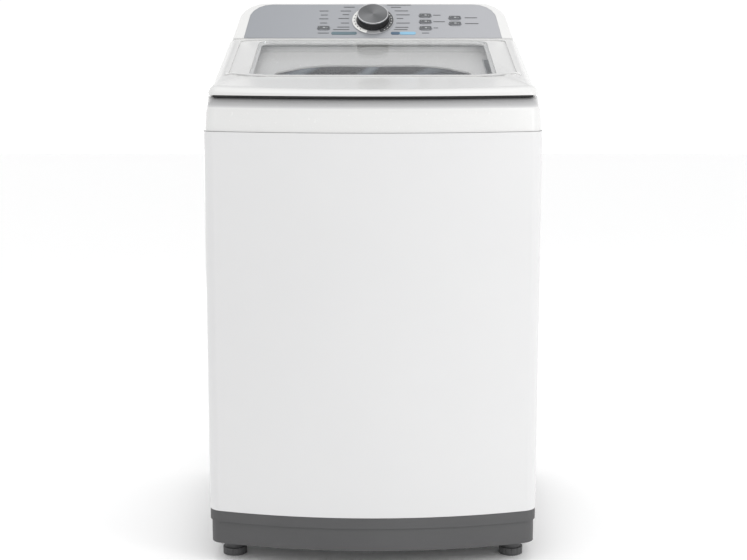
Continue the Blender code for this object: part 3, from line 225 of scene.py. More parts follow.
def soften(obj, width, segments=2, angle=30.0):
    """Rounds the sharp edges."""
    rounding = obj.modifiers.new("rounding", "BEVEL")
    rounding.width = width
    rounding.segments = segments
    rounding.limit_method = "ANGLE"
    rounding.angle_limit = math.radians(angle)
    return apply_all(obj)


def settle(obj, angle=35.0):
    """Puts the place into the mesh, turns the faces outwards, and shades smoothly between crisp edges."""
    only(obj)
    bpy.ops.object.transform_apply(location=True, rotation=True, scale=True)
    bpy.ops.object.mode_set(mode="EDIT")
    bpy.ops.mesh.select_all(action="SELECT")
    bpy.ops.mesh.remove_doubles(threshold=MERGE_DISTANCE)
    bpy.ops.mesh.normals_make_consistent(inside=False)
    bpy.ops.object.mode_set(mode="OBJECT")
    bpy.ops.object.shade_smooth_by_angle(angle=math.radians(angle))
    return obj


def dress(obj, look, body, stands_for=()):
    """Gives a piece its finish and its body, and says which solids it stands for."""
    obj.data.materials.clear()
    obj.data.materials.append(look)
    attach(obj, body)
    if stands_for:
        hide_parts(*stands_for)
    return obj


def joined(name, parts):
    """Joins several pieces into one, under a new name."""
    only(parts[0])
    for part in parts:
        part.select_set(True)
    if len(parts) > 1:
        bpy.ops.object.join()
    made = bpy.context.view_layer.objects.active
    made.name = name
    return made


def block(size, centre, turn=(0.0, 0.0, 0.0)):
    """A block of a given size, as a start for a shape."""
    bpy.ops.object.select_all(action="DESELECT")
    bpy.ops.mesh.primitive_cube_add(size=1.0, location=centre, rotation=turn)
    made = bpy.context.active_object
    made.scale = size
    bpy.ops.object.transform_apply(location=False, rotation=False, scale=True)
    return made


def drum(radius, depth, centre, steps=48, turn=(0.0, 0.0, 0.0)):
    """A round block, as a start for a turned shape."""
    bpy.ops.object.select_all(action="DESELECT")
    bpy.ops.mesh.primitive_cylinder_add(
        vertices=steps, radius=radius, depth=depth, location=centre, rotation=turn
    )
    return bpy.context.active_object


print("tools are ready")

# %% [markdown]
# Every finish below starts from the same small builder: a Principled surface whose colour drifts slightly
# between two close tones, and whose roughness and height follow a noise at the scale of the real finish.
# Paint has a faint orange peel, moulded plastic a finer grain, and brushed metal a grain stretched one
# way.

# %% A builder for moulded, painted and metal finishes
def coordinates(tree, stretch=(1.0, 1.0, 1.0), turn=(0.0, 0.0, 0.0), shift=(0.0, 0.0, 0.0)):
    place = tree.nodes.new("ShaderNodeTexCoord")
    scaled = tree.nodes.new("ShaderNodeMapping")
    scaled.inputs["Location"].default_value = shift
    scaled.inputs["Rotation"].default_value = turn
    scaled.inputs["Scale"].default_value = stretch
    tree.links.new(place.outputs["Object"], scaled.inputs["Vector"])
    return scaled.outputs["Vector"]


def noise(tree, scale, detail=3.0, stretch=(1.0, 1.0, 1.0)):
    grain = tree.nodes.new("ShaderNodeTexNoise")
    grain.inputs["Scale"].default_value = scale
    grain.inputs["Detail"].default_value = detail
    tree.links.new(coordinates(tree, stretch), grain.inputs["Vector"])
    return grain.outputs["Fac"]


def tones_of(tree, source, low, high, start=0.3, end=0.7):
    made = tree.nodes.new("ShaderNodeValToRGB")
    made.color_ramp.elements[0].position = start
    made.color_ramp.elements[1].position = end
    made.color_ramp.elements[0].color = (*low, 1.0)
    made.color_ramp.elements[1].color = (*high, 1.0)
    tree.links.new(source, made.inputs["Fac"])
    return made.outputs["Color"]


def spread(tree, source, low, high, start=0.0, end=1.0):
    made = tree.nodes.new("ShaderNodeMapRange")
    made.inputs["From Min"].default_value = start
    made.inputs["From Max"].default_value = end
    made.inputs["To Min"].default_value = low
    made.inputs["To Max"].default_value = high
    tree.links.new(source, made.inputs["Value"])
    return made.outputs["Result"]


def maths(tree, way, first, second=None):
    made = tree.nodes.new("ShaderNodeMath")
    made.operation = way
    for socket, value in zip(made.inputs, (first, second)):
        if isinstance(value, (int, float)):
            socket.default_value = value
        elif value is not None:
            tree.links.new(value, socket)
    return made.outputs["Value"]


def length_of(tree, first, second):
    squares = [maths(tree, "POWER", part, 2.0) for part in (first, second)]
    return maths(tree, "SQRT", maths(tree, "ADD", *squares))


def parts_of(tree, vector):
    made = tree.nodes.new("ShaderNodeSeparateXYZ")
    tree.links.new(vector, made.inputs["Vector"])
    return made.outputs["X"], made.outputs["Y"], made.outputs["Z"]


def bump(tree, shader, source, depth, strength=0.4):
    made = tree.nodes.new("ShaderNodeBump")
    made.inputs["Strength"].default_value = strength
    made.inputs["Distance"].default_value = depth
    tree.links.new(source, made.inputs["Height"])
    tree.links.new(made.outputs["Normal"], shader.inputs["Normal"])


def start_look(name, metallic=0.0, coat=0.0):
    look = bpy.data.materials.new(name)
    look.use_nodes = True
    shader = look.node_tree.nodes["Principled BSDF"]
    shader.inputs["Metallic"].default_value = metallic
    shader.inputs["Coat Weight"].default_value = coat
    shader.inputs["Coat Roughness"].default_value = 0.06
    return look, look.node_tree, shader


def surface(
    name, low, high, rough, grain, depth, metallic=0.0, coat=0.0, drift=2.5, stretch=(1, 1, 1)
):
    """A finish with drifting colour, uneven roughness and fine grain."""
    look, tree, shader = start_look(name, metallic, coat)
    tree.links.new(tones_of(tree, noise(tree, drift), low, high), shader.inputs["Base Color"])
    tree.links.new(spread(tree, noise(tree, grain / 4), *rough), shader.inputs["Roughness"])
    bump(tree, shader, noise(tree, grain, 4.0, stretch), depth)
    return look


# %% The machine's plain finishes
MOULDING_TONES = ((0.69, 0.69, 0.684), (0.71, 0.71, 0.704))
ALONG_Z = (1, 1, 14)
enamel = surface(
    "enamel_white", (0.672, 0.672, 0.675), (0.690, 0.690, 0.692), (0.26, 0.33), 420, 0.00002, coat=0.12
)
white_moulding = surface("moulding_white", *MOULDING_TONES, (0.20, 0.27), 900, 0.00002, coat=0.15)
plinth_grey = surface(
    "plinth_grey", (0.066, 0.066, 0.068), (0.086, 0.086, 0.088), (0.52, 0.66), 1500, 0.00012
)
black_moulding = surface(
    "moulding_black", (0.010, 0.010, 0.011), (0.017, 0.017, 0.018), (0.25, 0.35), 1200, 0.00004
)
light_moulding = surface(
    "moulding_light", (0.50, 0.52, 0.54), (0.56, 0.58, 0.60), (0.38, 0.48), 900, 0.00004
)
tub_dark = surface(
    "tub_cover_dark", (0.035, 0.040, 0.048), (0.055, 0.062, 0.072), (0.30, 0.42), 600, 0.00003
)
zinc = surface(
    "zinc_sheet", (0.40, 0.41, 0.42), (0.52, 0.53, 0.54), (0.38, 0.55), 160, 0.00002, 1.0, drift=40
)
cast = surface("cast_alloy", (0.42, 0.43, 0.44), (0.52, 0.53, 0.54), (0.45, 0.62), 700, 0.00020, 1.0)
rubber = surface(
    "rubber_black", (0.018, 0.018, 0.018), (0.032, 0.032, 0.032), (0.70, 0.85), 1100, 0.00010
)
steel = surface(
    "steel_brushed", (0.55, 0.55, 0.56), (0.64, 0.64, 0.65), (0.22, 0.34), 260, 0.00004, 1.0,
    stretch=ALONG_Z,
)
board_green = surface(
    "board_green", (0.015, 0.10, 0.04), (0.03, 0.16, 0.07), (0.35, 0.50), 500, 0.00010, drift=60
)
print("plain finishes:", len(bpy.data.materials))

# %% [markdown]
# The casing pieces already have the right form, but their edges are razor sharp. A real folded sheet or
# moulding has a small radius everywhere, and that radius is what catches the light. So each one is
# copied, its triangles are merged back into large faces, and its edges are rounded with a Bevel. The
# lid's faces are curved, so its triangles are paired into quads instead.

# %% Rounded copies of the casing
WELD_DISTANCE = 0.00002


def rounded_copy(node, name, edge, segments=3, sharp=30.0, quads=False):
    """A copy of a solid, welded and with its edges rounded."""
    piece = bpy.data.objects.new(name, nodes[node].data.copy())
    bpy.context.scene.collection.objects.link(piece)
    only(piece)
    bpy.ops.mesh.customdata_custom_splitnormals_clear()
    bpy.ops.object.mode_set(mode="EDIT")
    bpy.ops.mesh.select_all(action="SELECT")
    bpy.ops.mesh.remove_doubles(threshold=WELD_DISTANCE)
    if quads:
        bpy.ops.mesh.tris_convert_to_quads(
            face_threshold=math.radians(40), shape_threshold=math.radians(180)
        )
    else:
        bpy.ops.mesh.dissolve_limited(angle_limit=math.radians(0.6))
    bpy.ops.object.mode_set(mode="OBJECT")
    if edge:
        rounding = piece.modifiers.new("rounding", "BEVEL")
        rounding.width = edge
        rounding.segments = segments
        rounding.limit_method = "ANGLE"
        rounding.angle_limit = math.radians(sharp)
        rounding.miter_outer = "MITER_ARC"
    weighted = piece.modifiers.new("even_shading", "WEIGHTED_NORMAL")
    weighted.keep_sharp = True
    only(piece)
    bpy.ops.object.shade_smooth_by_angle(angle=math.radians(sharp + 15))
    return apply_all(piece)


def carry(node, look, body, edge=0.0008, sharp=30.0, segments=3, quads=False):
    """Puts a rounded copy in a solid's place."""
    piece = rounded_copy(node, node + "_finished", edge, segments, sharp, quads)
    return dress(piece, look, body, (node,))


carry("cabinet", enamel, "machine", 0.0004)
carry("base_plinth", plinth_grey, "machine", 0.0012)
carry("console_housing", white_moulding, "machine", 0.0025)
lid = carry("lid_frame", white_moulding, "lid", 0.0012, 34.0, quads=True)
print("casing pieces are rounded")

# %% [markdown]
# Under the lid's front edge the top cover has a sloping band for the fingers. Its shade there is painted
# into the white moulding's colour: a light grey that darkens into a painted black shadow towards the gap
# under the lid. One finish holds the white and the painted shade, and the height and the distance from the
# front say where the grey begins.

# %% Top cover finish with painted shade on the finger band
GRIP_ABOVE_CABINET = 0.0405
GRIP_RISE = 0.0155
GRIP_REACH = 0.060
GRIP_FADE = 0.020
GRIP_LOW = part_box("cabinet")[1].z + GRIP_ABOVE_CABINET
GRIP_HIGH = GRIP_LOW + GRIP_RISE
GRIP_REAR = cad_low.y + GRIP_REACH


def grip_painted_shade_finish():
    look, tree, shader = start_look("moulding_painted_grip_shade", coat=0.1)
    across, along, up = parts_of(tree, coordinates(tree))
    white = tones_of(tree, noise(tree, 2.5), *MOULDING_TONES)
    # Painted shade: grey on the finger band, darkening up the slope to a black painted shadow at the gap.
    made = tree.nodes.new("ShaderNodeValToRGB")
    made.color_ramp.elements[0].color = (0.60, 0.60, 0.605, 1.0)
    made.color_ramp.elements[1].color = (0.012, 0.012, 0.012, 1.0)
    for place, tone in ((0.20, 0.47), (0.72, 0.36), (0.86, 0.20)):
        made.color_ramp.elements.new(place).color = (tone, tone, tone * 1.01, 1.0)
    tree.links.new(spread(tree, up, 0.0, 1.0, GRIP_LOW, GRIP_HIGH), made.inputs["Fac"])
    high_enough = spread(tree, up, 0.0, 1.0, GRIP_LOW - 0.0012, GRIP_LOW - 0.0002)
    in_front = spread(tree, along, 1.0, 0.0, GRIP_REAR, GRIP_REAR + GRIP_FADE)
    mix = tree.nodes.new("ShaderNodeMix")
    mix.data_type = "RGBA"
    tree.links.new(maths(tree, "MULTIPLY", high_enough, in_front), mix.inputs["Factor"])
    tree.links.new(white, mix.inputs["A"])
    tree.links.new(made.outputs["Color"], mix.inputs["B"])
    tree.links.new(mix.outputs["Result"], shader.inputs["Base Color"])
    tree.links.new(spread(tree, noise(tree, 225.0), 0.22, 0.30), shader.inputs["Roughness"])
    bump(tree, shader, noise(tree, 900.0, 4.0), 0.00002)
    return look


carry("top_cover", grip_painted_shade_finish(), "machine", 0.0010)
print("top cover has its grey band from", round(GRIP_LOW, 4), "up")

# %% [markdown]
# A black strip is a painted shadow: it fills the gap between the lid and the rim, where there is only shade,
# so no white shows in it. It is a flat bar, cut into short lengths, bent to the bow of the front, lifted off
# the rim and made solid.

# %% Painted shadow strip in the lid's gap
GAP_SHADOW_HALF_WIDTH = 0.268
GAP_SHADOW_BOW = 0.047
GAP_SHADOW_DEPTH = 0.010
GAP_SHADOW_HEIGHT = 0.0032
GAP_SHADOW_FROM_FRONT = 0.0140
GAP_SHADOW_OFF_RIM = 0.0003


def make_gap_shadow_strip():
    radius = (GAP_SHADOW_HALF_WIDTH**2 + GAP_SHADOW_BOW**2) / (2 * GAP_SHADOW_BOW)
    bpy.ops.object.select_all(action="DESELECT")
    bpy.ops.mesh.primitive_plane_add(size=1.0, location=(0.0, 0.0, GRIP_HIGH + GAP_SHADOW_OFF_RIM))
    strip = bpy.context.active_object
    strip.name = "lid_gap_shadow_strip"
    strip.scale = (2 * GAP_SHADOW_HALF_WIDTH, GAP_SHADOW_DEPTH, 1.0)
    bpy.ops.object.transform_apply(location=True, rotation=False, scale=True)
    bpy.ops.object.mode_set(mode="EDIT")
    bpy.ops.mesh.select_all(action="SELECT")
    bpy.ops.mesh.subdivide(number_cuts=39)
    bpy.ops.object.mode_set(mode="OBJECT")
    front = cad_low.y + GAP_SHADOW_FROM_FRONT
    for corner in strip.data.vertices:
        corner.co.y += front + radius - math.sqrt(radius**2 - corner.co.x**2) + GAP_SHADOW_DEPTH / 2
    wall = strip.modifiers.new("thickness", "SOLIDIFY")
    wall.thickness = GAP_SHADOW_HEIGHT
    wall.offset = 1.0
    apply_all(strip)
    settle(soften(strip, 0.0004))
    # Painted shadow: a black piece set in the gap, where there is only shade.
    dress(strip, rubber, "machine")


make_gap_shadow_strip()
print("seal strip is in the gap")

# %% [markdown]
# The window is a sheet of tempered glass with ground edges. It shows the recess below and mirrors the
# console above it. A refracting glass would keep most of the room's light out of the recess, so the sheet
# is a thin mirror seen through instead: a smooth bright metal that is only one sixth there. What lies
# below stays bright, and the console's reflection lies over it.

# %% Lid glass
GLASS_SHARE = 0.16


def seen_through_glass(name, low, high, share):
    look, tree, shader = start_look(name, 1.0)
    tree.links.new(tones_of(tree, noise(tree, 6.0), low, high), shader.inputs["Base Color"])
    tree.links.new(spread(tree, noise(tree, 30.0), 0.010, 0.030), shader.inputs["Roughness"])
    shader.inputs["Alpha"].default_value = share
    return look


window_glass = seen_through_glass("window_glass", (0.88, 0.90, 0.91), (0.90, 0.92, 0.93), GLASS_SHARE)
window = rounded_copy("lid_window", "lid_glass", 0.0007, 2)
dress(window, window_glass, "lid", ("lid_window",))
print("glass is in the lid")

# %% [markdown]
# Around the glass the lid is crowned: a raised line runs all round it, a finger's width in from the edge.
# It is a flat ring shaped in edit mode and laid on the lid by a Shrinkwrap, so it follows the slope and
# the crown.

# %% Raised line round the window
CROWN_HALF_WIDTH = 0.2605
CROWN_PAST_GLASS = 0.012
CROWN_FROM_REAR = 0.020
CROWN_CORNER = 0.020
CROWN_WIDTH = 0.0060
CROWN_HEIGHT = 0.0022
CROWN_OFF_LID = 0.0002


def make_crown_line():
    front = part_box("lid_window")[0].y - CROWN_PAST_GLASS
    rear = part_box("lid_frame")[1].y - CROWN_FROM_REAR
    bpy.ops.object.select_all(action="DESELECT")
    bpy.ops.mesh.primitive_plane_add(size=1.0, location=(0.0, (front + rear) / 2, 1.0))
    ring = bpy.context.active_object
    ring.name = "lid_crown_line"
    ring.scale = (2 * CROWN_HALF_WIDTH, rear - front, 1.0)
    bpy.ops.object.transform_apply(location=True, rotation=False, scale=True)
    bpy.ops.object.mode_set(mode="EDIT")
    bpy.ops.mesh.select_all(action="SELECT")
    bpy.ops.mesh.bevel(offset=CROWN_CORNER, segments=8, affect="VERTICES")
    bpy.ops.mesh.select_all(action="SELECT")
    bpy.ops.mesh.inset(thickness=CROWN_WIDTH)
    bpy.ops.mesh.delete(type="ONLY_FACE")
    bpy.ops.mesh.select_all(action="SELECT")
    bpy.ops.mesh.subdivide(number_cuts=8)
    bpy.ops.object.mode_set(mode="OBJECT")
    lay = ring.modifiers.new("lay_on_lid", "SHRINKWRAP")
    lay.target = lid
    lay.wrap_method = "PROJECT"
    lay.use_project_z = True
    lay.use_negative_direction = True
    lay.use_positive_direction = False
    lay.offset = CROWN_OFF_LID
    apply_all(ring)
    wall = ring.modifiers.new("thickness", "SOLIDIFY")
    wall.thickness = CROWN_HEIGHT
    wall.offset = 1.0
    apply_all(ring)
    settle(soften(ring, 0.0010, 3), 60.0)
    dress(ring, white_moulding, "lid")


make_crown_line()
print("raised line follows the lid")

# %% [markdown]
# The wall that drops from the deck's mouth to the drum is dark and glossy, with flowing flutes that lean
# as they go round. The flutes are leaning waves: the angle round the mouth and the height are mixed, and
# a ramp turns each wave into a light streak on a dark ground.

# %% Fluted finish of the collar
FLUTES_ROUND = 6.0
FLUTE_LEAN = 80.0


def fluted_finish():
    look, tree, shader = start_look("flowing_flutes", coat=0.6)
    across, along, up = parts_of(tree, coordinates(tree))
    around = maths(tree, "ARCTAN2", maths(tree, "ADD", along, 0.03), across)
    lean = maths(tree, "MULTIPLY", up, FLUTE_LEAN)
    turns = maths(tree, "MULTIPLY", around, FLUTES_ROUND)
    wave = maths(tree, "SINE", maths(tree, "ADD", turns, lean))
    fine = maths(tree, "SINE", maths(tree, "MULTIPLY", maths(tree, "ADD", turns, lean), 2.3))
    mixed = maths(tree, "ADD", wave, maths(tree, "MULTIPLY", fine, 0.45))
    level = spread(tree, mixed, 0.0, 1.0, -1.4, 1.4)
    tones = tones_of(tree, level, (0.003, 0.005, 0.010), (0.260, 0.310, 0.360), 0.55, 1.0)
    tree.links.new(tones, shader.inputs["Base Color"])
    tree.links.new(spread(tree, noise(tree, 60.0), 0.14, 0.22), shader.inputs["Roughness"])
    bump(tree, shader, level, 0.002, 0.6)
    return look


collar = rounded_copy("drum_collar", "collar_fluted", 0.0)
dress(collar, fluted_finish(), "machine", ("drum_collar",))
print("collar is fluted")

# %% [markdown]
# The console's face is a thin silver panel, brushed along its width. Its reflection falls off towards the
# left, and that falloff is painted: two close greys are mixed along X as a painted reflection, and a
# stretched noise gives the brushing.

# %% Brushed silver panel with painted reflection
def brushed_silver_painted_falloff():
    look, tree, shader = start_look("panel_silver_painted_falloff", 0.35, 0.15)
    across, along, up = parts_of(tree, coordinates(tree))
    # Painted reflection: darker grey on the left, brighter towards the right.
    side = spread(tree, across, 0.0, 1.0, -0.25, 0.22)
    brushing = noise(tree, 900, 4.0, (0.04, 1.0, 1.0))
    streaks = maths(tree, "MULTIPLY", maths(tree, "SUBTRACT", brushing, 0.5), 0.10)
    mixed = maths(tree, "ADD", side, streaks)
    tones = tones_of(tree, mixed, (0.272, 0.284, 0.306), (0.375, 0.380, 0.400), 0.0, 1.0)
    tree.links.new(tones, shader.inputs["Base Color"])
    tree.links.new(spread(tree, brushing, 0.30, 0.42), shader.inputs["Roughness"])
    bump(tree, shader, brushing, 0.00003)
    return look


silver = brushed_silver_painted_falloff()
carry("console_fascia", silver, "machine", 0.0004, segments=2)
print("silver panel is on")

# %% [markdown]
# All that sits on the panel is modelled flat, with Z out of the panel, and then set on it by one matrix,
# which comes from the panel's own box: its lower front edge, and the tilt of its face.

# %% The panel's own axes
def half_width(node):
    low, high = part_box(node)
    return (high.x - low.x) / 2


FACE_TILT = math.radians(39.5)
FACE_THICKNESS = 0.002
FACE_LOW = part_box("console_fascia")[0]
ON_FACE = Matrix.Translation((0.0, FACE_LOW.y, FACE_LOW.z + FACE_THICKNESS * math.cos(FACE_TILT)))
ON_FACE = ON_FACE @ Matrix.Rotation(FACE_TILT, 4, "X")
KNOB_UP = 0.0525
KNOB_RADIUS = half_width("programme_knob")
KNOB_HEIGHT = 0.0180
CAP_RADIUS = half_width("knob_cap")
CAP_THICKNESS = 0.0025
DIAL_RADIUS = half_width("dial_ring")


def set_on_face(obj, along=0.0, up=0.0, out=0.0):
    """Moves a piece that was modelled flat to its place on the panel."""
    obj.matrix_world = ON_FACE @ Matrix.Translation((along, up, out)) @ obj.matrix_world
    return settle(obj)


def rounded_plate(width, height, thickness, centre, base, corner):
    """A flat plate: a block whose four upright edges are bevelled to a corner radius."""
    plate = block((width, height, thickness), (centre[0], centre[1], base + thickness / 2))
    pick_edges(plate, lambda a, b: abs(a.z - b.z) > thickness / 2)
    bpy.ops.mesh.bevel(offset=corner, segments=5, affect="EDGES")
    bpy.ops.object.mode_set(mode="OBJECT")
    return plate


def flat_pill(width, height, thickness, centre, base=0.0):
    """A plate with round ends."""
    return rounded_plate(width, height, thickness, centre, base, height * 0.46)


print("panel axes at", [round(v, 4) for v in ON_FACE.translation])

# %% [markdown]
# The programme knob has a black skirt with fine ribs for grip, and a cap of turned dark metal in a bright
# rim. The skirt is a cone, every third side face of which is pushed in; the cap is a disc with its face
# let in.

# %% Knob skirt
SKIRT_LOW = 0.0022
SKIRT_HIGH = KNOB_HEIGHT - 0.0027
SKIRT_TAPER = 0.0013
SKIRT_SIDES = 144


def make_skirt():
    bpy.ops.object.select_all(action="DESELECT")
    bpy.ops.mesh.primitive_cone_add(
        vertices=SKIRT_SIDES, radius1=KNOB_RADIUS, radius2=KNOB_RADIUS - SKIRT_TAPER,
        depth=SKIRT_HIGH - SKIRT_LOW, location=(0.0, 0.0, (SKIRT_LOW + SKIRT_HIGH) / 2),
    )
    skirt = bpy.context.active_object
    skirt.name = "knob_skirt"
    bpy.ops.object.transform_apply(location=True, rotation=False, scale=False)
    sides = [face.index for face in skirt.data.polygons if abs(face.normal.z) < 0.5]
    pick_listed(skirt, set(sides[::3]))
    bpy.ops.mesh.inset(thickness=0.00012, use_individual=True)
    bpy.ops.mesh.extrude_faces_move(
        MESH_OT_extrude_faces_indiv={}, TRANSFORM_OT_shrink_fatten={"value": -0.0004}
    )
    pick_faces(
        skirt, lambda centre, normal: abs(normal.z) > 0.9 and abs(centre.z - SKIRT_HIGH) < 0.0001
    )
    bpy.ops.mesh.bevel(offset=0.0006, segments=2, affect="EDGES")
    bpy.ops.object.mode_set(mode="OBJECT")
    set_on_face(skirt, 0.0, KNOB_UP)
    dress(skirt, black_moulding, "knob", ("programme_knob",))


make_skirt()


# %% Turned metal cap with painted sheen
def turned_metal_painted_sheen(name, low, high, rough):
    """Metal with fine rings from the lathe and a painted two-lobed sheen, both centred on the knob."""
    look, tree, shader = start_look(name, 0.85)
    centre = ON_FACE @ Vector((0.0, KNOB_UP, 0.0))
    shift = -(Matrix.Rotation(-FACE_TILT, 3, "X") @ centre)
    across, along, up = parts_of(tree, coordinates(tree, turn=(-FACE_TILT, 0.0, 0.0), shift=shift))
    reach = length_of(tree, across, along)
    rings = maths(tree, "SINE", maths(tree, "MULTIPLY", reach, 9000.0))
    # Painted sheen: two lighter lobes round the centre, as light catching turned metal.
    painted_sheen = maths(tree, "SINE", maths(tree, "MULTIPLY", maths(tree, "ARCTAN2", along, across), 2.0))
    level = maths(tree, "ADD", maths(tree, "MULTIPLY", rings, 0.16), maths(tree, "MULTIPLY", painted_sheen, 0.30))
    level = spread(tree, level, 0.0, 1.0, -0.5, 0.5)
    tree.links.new(tones_of(tree, level, low, high, 0.0, 1.0), shader.inputs["Base Color"])
    tree.links.new(spread(tree, rings, rough, rough + 0.1, -1.0, 1.0), shader.inputs["Roughness"])
    bump(tree, shader, rings, 0.00003)
    return look


cap_look = turned_metal_painted_sheen("cap_turned", (0.085, 0.087, 0.090), (0.19, 0.193, 0.198), 0.30)
rim_look = turned_metal_painted_sheen("cap_rim", (0.42, 0.42, 0.43), (0.55, 0.55, 0.56), 0.22)


RIM_WIDTH = 0.0022


def make_cap():
    cap = drum(CAP_RADIUS, CAP_THICKNESS, (0.0, 0.0, KNOB_HEIGHT - CAP_THICKNESS / 2), 96)
    cap.name = "knob_cap_turned"
    bpy.ops.object.transform_apply(location=True, rotation=False, scale=False)
    pick_faces(cap, lambda centre, normal: normal.z > 0.9)
    bpy.ops.mesh.bevel(offset=0.0007, segments=3, affect="EDGES")
    pick_faces(cap, lambda centre, normal: normal.z > 0.99 and centre.xy.length < 0.02)
    bpy.ops.mesh.inset(thickness=0.0008)
    bpy.ops.mesh.inset(thickness=0.0003)
    bpy.ops.transform.translate(value=(0.0, 0.0, -0.0005))
    bpy.ops.object.mode_set(mode="OBJECT")
    set_on_face(cap, 0.0, KNOB_UP)
    dress(cap, cap_look, "knob", ("knob_cap",))
    cap.data.materials.append(rim_look)
    centre = ON_FACE @ Vector((0.0, KNOB_UP, KNOB_HEIGHT))
    for face in cap.data.polygons:
        face.material_index = int((face.center - centre).length > CAP_RADIUS - RIM_WIDTH)


make_cap()
print("knob has a skirt and a cap")

# %% [markdown]
# Round the knob lies a flat dial. Its left half is pale with dark dots, its right half dark with pale
# dots, one for each programme. The ring is a disc with its middle inset and removed; each half is a
# thinner arc on it.

# %% Dial ring and its dots
def flat_ring(outer, inner, thickness, base, keep=None):
    """A flat ring, or the part of it that a test on the faces' centres keeps."""
    bpy.ops.object.select_all(action="DESELECT")
    bpy.ops.mesh.primitive_circle_add(vertices=96, radius=outer, fill_type="NGON", location=(0.0, 0.0, base))
    ring = bpy.context.active_object
    bpy.ops.object.mode_set(mode="EDIT")
    bpy.ops.mesh.select_all(action="SELECT")
    bpy.ops.mesh.inset(thickness=outer - inner)
    bpy.ops.mesh.delete(type="FACE")
    bpy.ops.object.mode_set(mode="OBJECT")
    if keep:
        pick_faces(ring, lambda centre, normal: not keep(centre))
        bpy.ops.mesh.delete(type="FACE")
        bpy.ops.object.mode_set(mode="OBJECT")
    wall = ring.modifiers.new("thickness", "SOLIDIFY")
    wall.thickness = thickness
    wall.offset = 1.0
    return soften(apply_all(ring), thickness * 0.25)


pale_print = surface("print_pale", (0.80, 0.80, 0.78), (0.86, 0.86, 0.84), (0.35, 0.45), 800, 0.00001)
dark_print = surface("print_dark", (0.060, 0.062, 0.066), (0.085, 0.088, 0.092), (0.40, 0.50), 800, 0.00001)
dial_silver = surface(
    "dial_silver", (0.40, 0.405, 0.415), (0.46, 0.465, 0.475), (0.28, 0.36), 900, 0.00002, 0.3
)
DIAL_INNER = KNOB_RADIUS + 0.0004
DIAL_THICKNESS = 0.0010
DIAL_BASE = 0.0003
ARC_OUTER = DIAL_RADIUS - 0.0008
ARC_INNER = KNOB_RADIUS + 0.0010
ARC_THICKNESS = 0.0003
ARC_BASE = DIAL_BASE + DIAL_THICKNESS
DOTS_REACH = (DIAL_RADIUS + KNOB_RADIUS) / 2
DOTS_OUT = 0.0017
ring = flat_ring(DIAL_RADIUS, DIAL_INNER, DIAL_THICKNESS, DIAL_BASE)
ring.name = "dial_plate"
set_on_face(ring, 0.0, KNOB_UP)
dress(ring, dial_silver, "machine", ("dial_ring",))
arc = flat_ring(ARC_OUTER, ARC_INNER, ARC_THICKNESS, ARC_BASE, lambda c: c.x < -0.012)
arc.name = "dial_pale_arc"
dress(set_on_face(arc, 0.0, KNOB_UP), pale_print, "machine")
dark_arc = flat_ring(ARC_OUTER, ARC_INNER, ARC_THICKNESS, ARC_BASE, lambda c: c.x > 0.014)
dark_arc.name = "dial_dark_arc"
dress(set_on_face(dark_arc, 0.0, KNOB_UP), dark_print, "machine")


def dial_dots(name, turns, look):
    dots = []
    for turn in turns:
        angle = math.radians(turn)
        place = (DOTS_REACH * math.cos(angle), DOTS_REACH * math.sin(angle), DOTS_OUT)
        dots.append(drum(0.0011, 0.0005, place, 12))
    made = joined(name, dots)
    dress(set_on_face(soften(made, 0.0001), 0.0, KNOB_UP), look, "machine")


dial_dots("dial_dark_dots", range(130, 231, 14), dark_print)
dial_dots("dial_pale_dots", range(-52, 53, 13), pale_print)
print("dial ring and dots are on")

# %% [markdown]
# The printing on the panel carries no words here: each name is a plain dash of the right length. They are
# thin raised bars, made as blocks, with their edges softened and joined into one piece.

# %% Printed dashes
def dashes(name, rows, look, height=0.0018):
    bars = []
    for start, end, up in rows:
        bars.append(flat_pill(end - start, height, 0.0002, ((start + end) / 2, up), 0.0001))
    made = joined(name, bars)
    return dress(set_on_face(made), look, "machine")


# Each dash: where it starts and ends along the panel, and how far up it lies.
left_names = [(-0.058, -0.036, 0.0938), (-0.064, -0.043, 0.0819), (-0.060, -0.047, 0.0707)]
left_names += [(-0.068, -0.047, 0.0588)]
left_names += [(-0.063, -0.047, 0.0449), (-0.070, -0.046, 0.0326), (-0.078, -0.046, 0.0250)]
right_names = [(0.028, 0.076, 0.1004), (0.036, 0.056, 0.0935), (0.043, 0.070, 0.0823)]
right_names += [(0.046, 0.073, 0.0700)]
right_names += [(0.047, 0.060, 0.0588), (0.046, 0.073, 0.0449), (0.044, 0.070, 0.0320)]
right_names += [(0.041, 0.068, 0.0250)]
level_names = [(-0.106, -0.088, 0.0820), (-0.103, -0.089, 0.0695), (-0.106, -0.088, 0.0578)]
level_names += [(-0.104, -0.090, 0.0450)]
button_names = [(0.119, 0.134, 0.0690), (0.119, 0.142, 0.0490), (0.119, 0.128, 0.0300)]
button_names += [(0.096, 0.110, 0.0146), (0.181, 0.206, 0.0610), (0.181, 0.208, 0.0432)]
button_names += [(-0.108, -0.086, 0.0146)]
all_names = left_names + right_names + level_names + button_names
dashes("panel_dashes", all_names, dark_print)
print("dashes:", len(all_names))

# %% [markdown]
# Two coloured plates low on each side of the knob group the programmes that belong together.

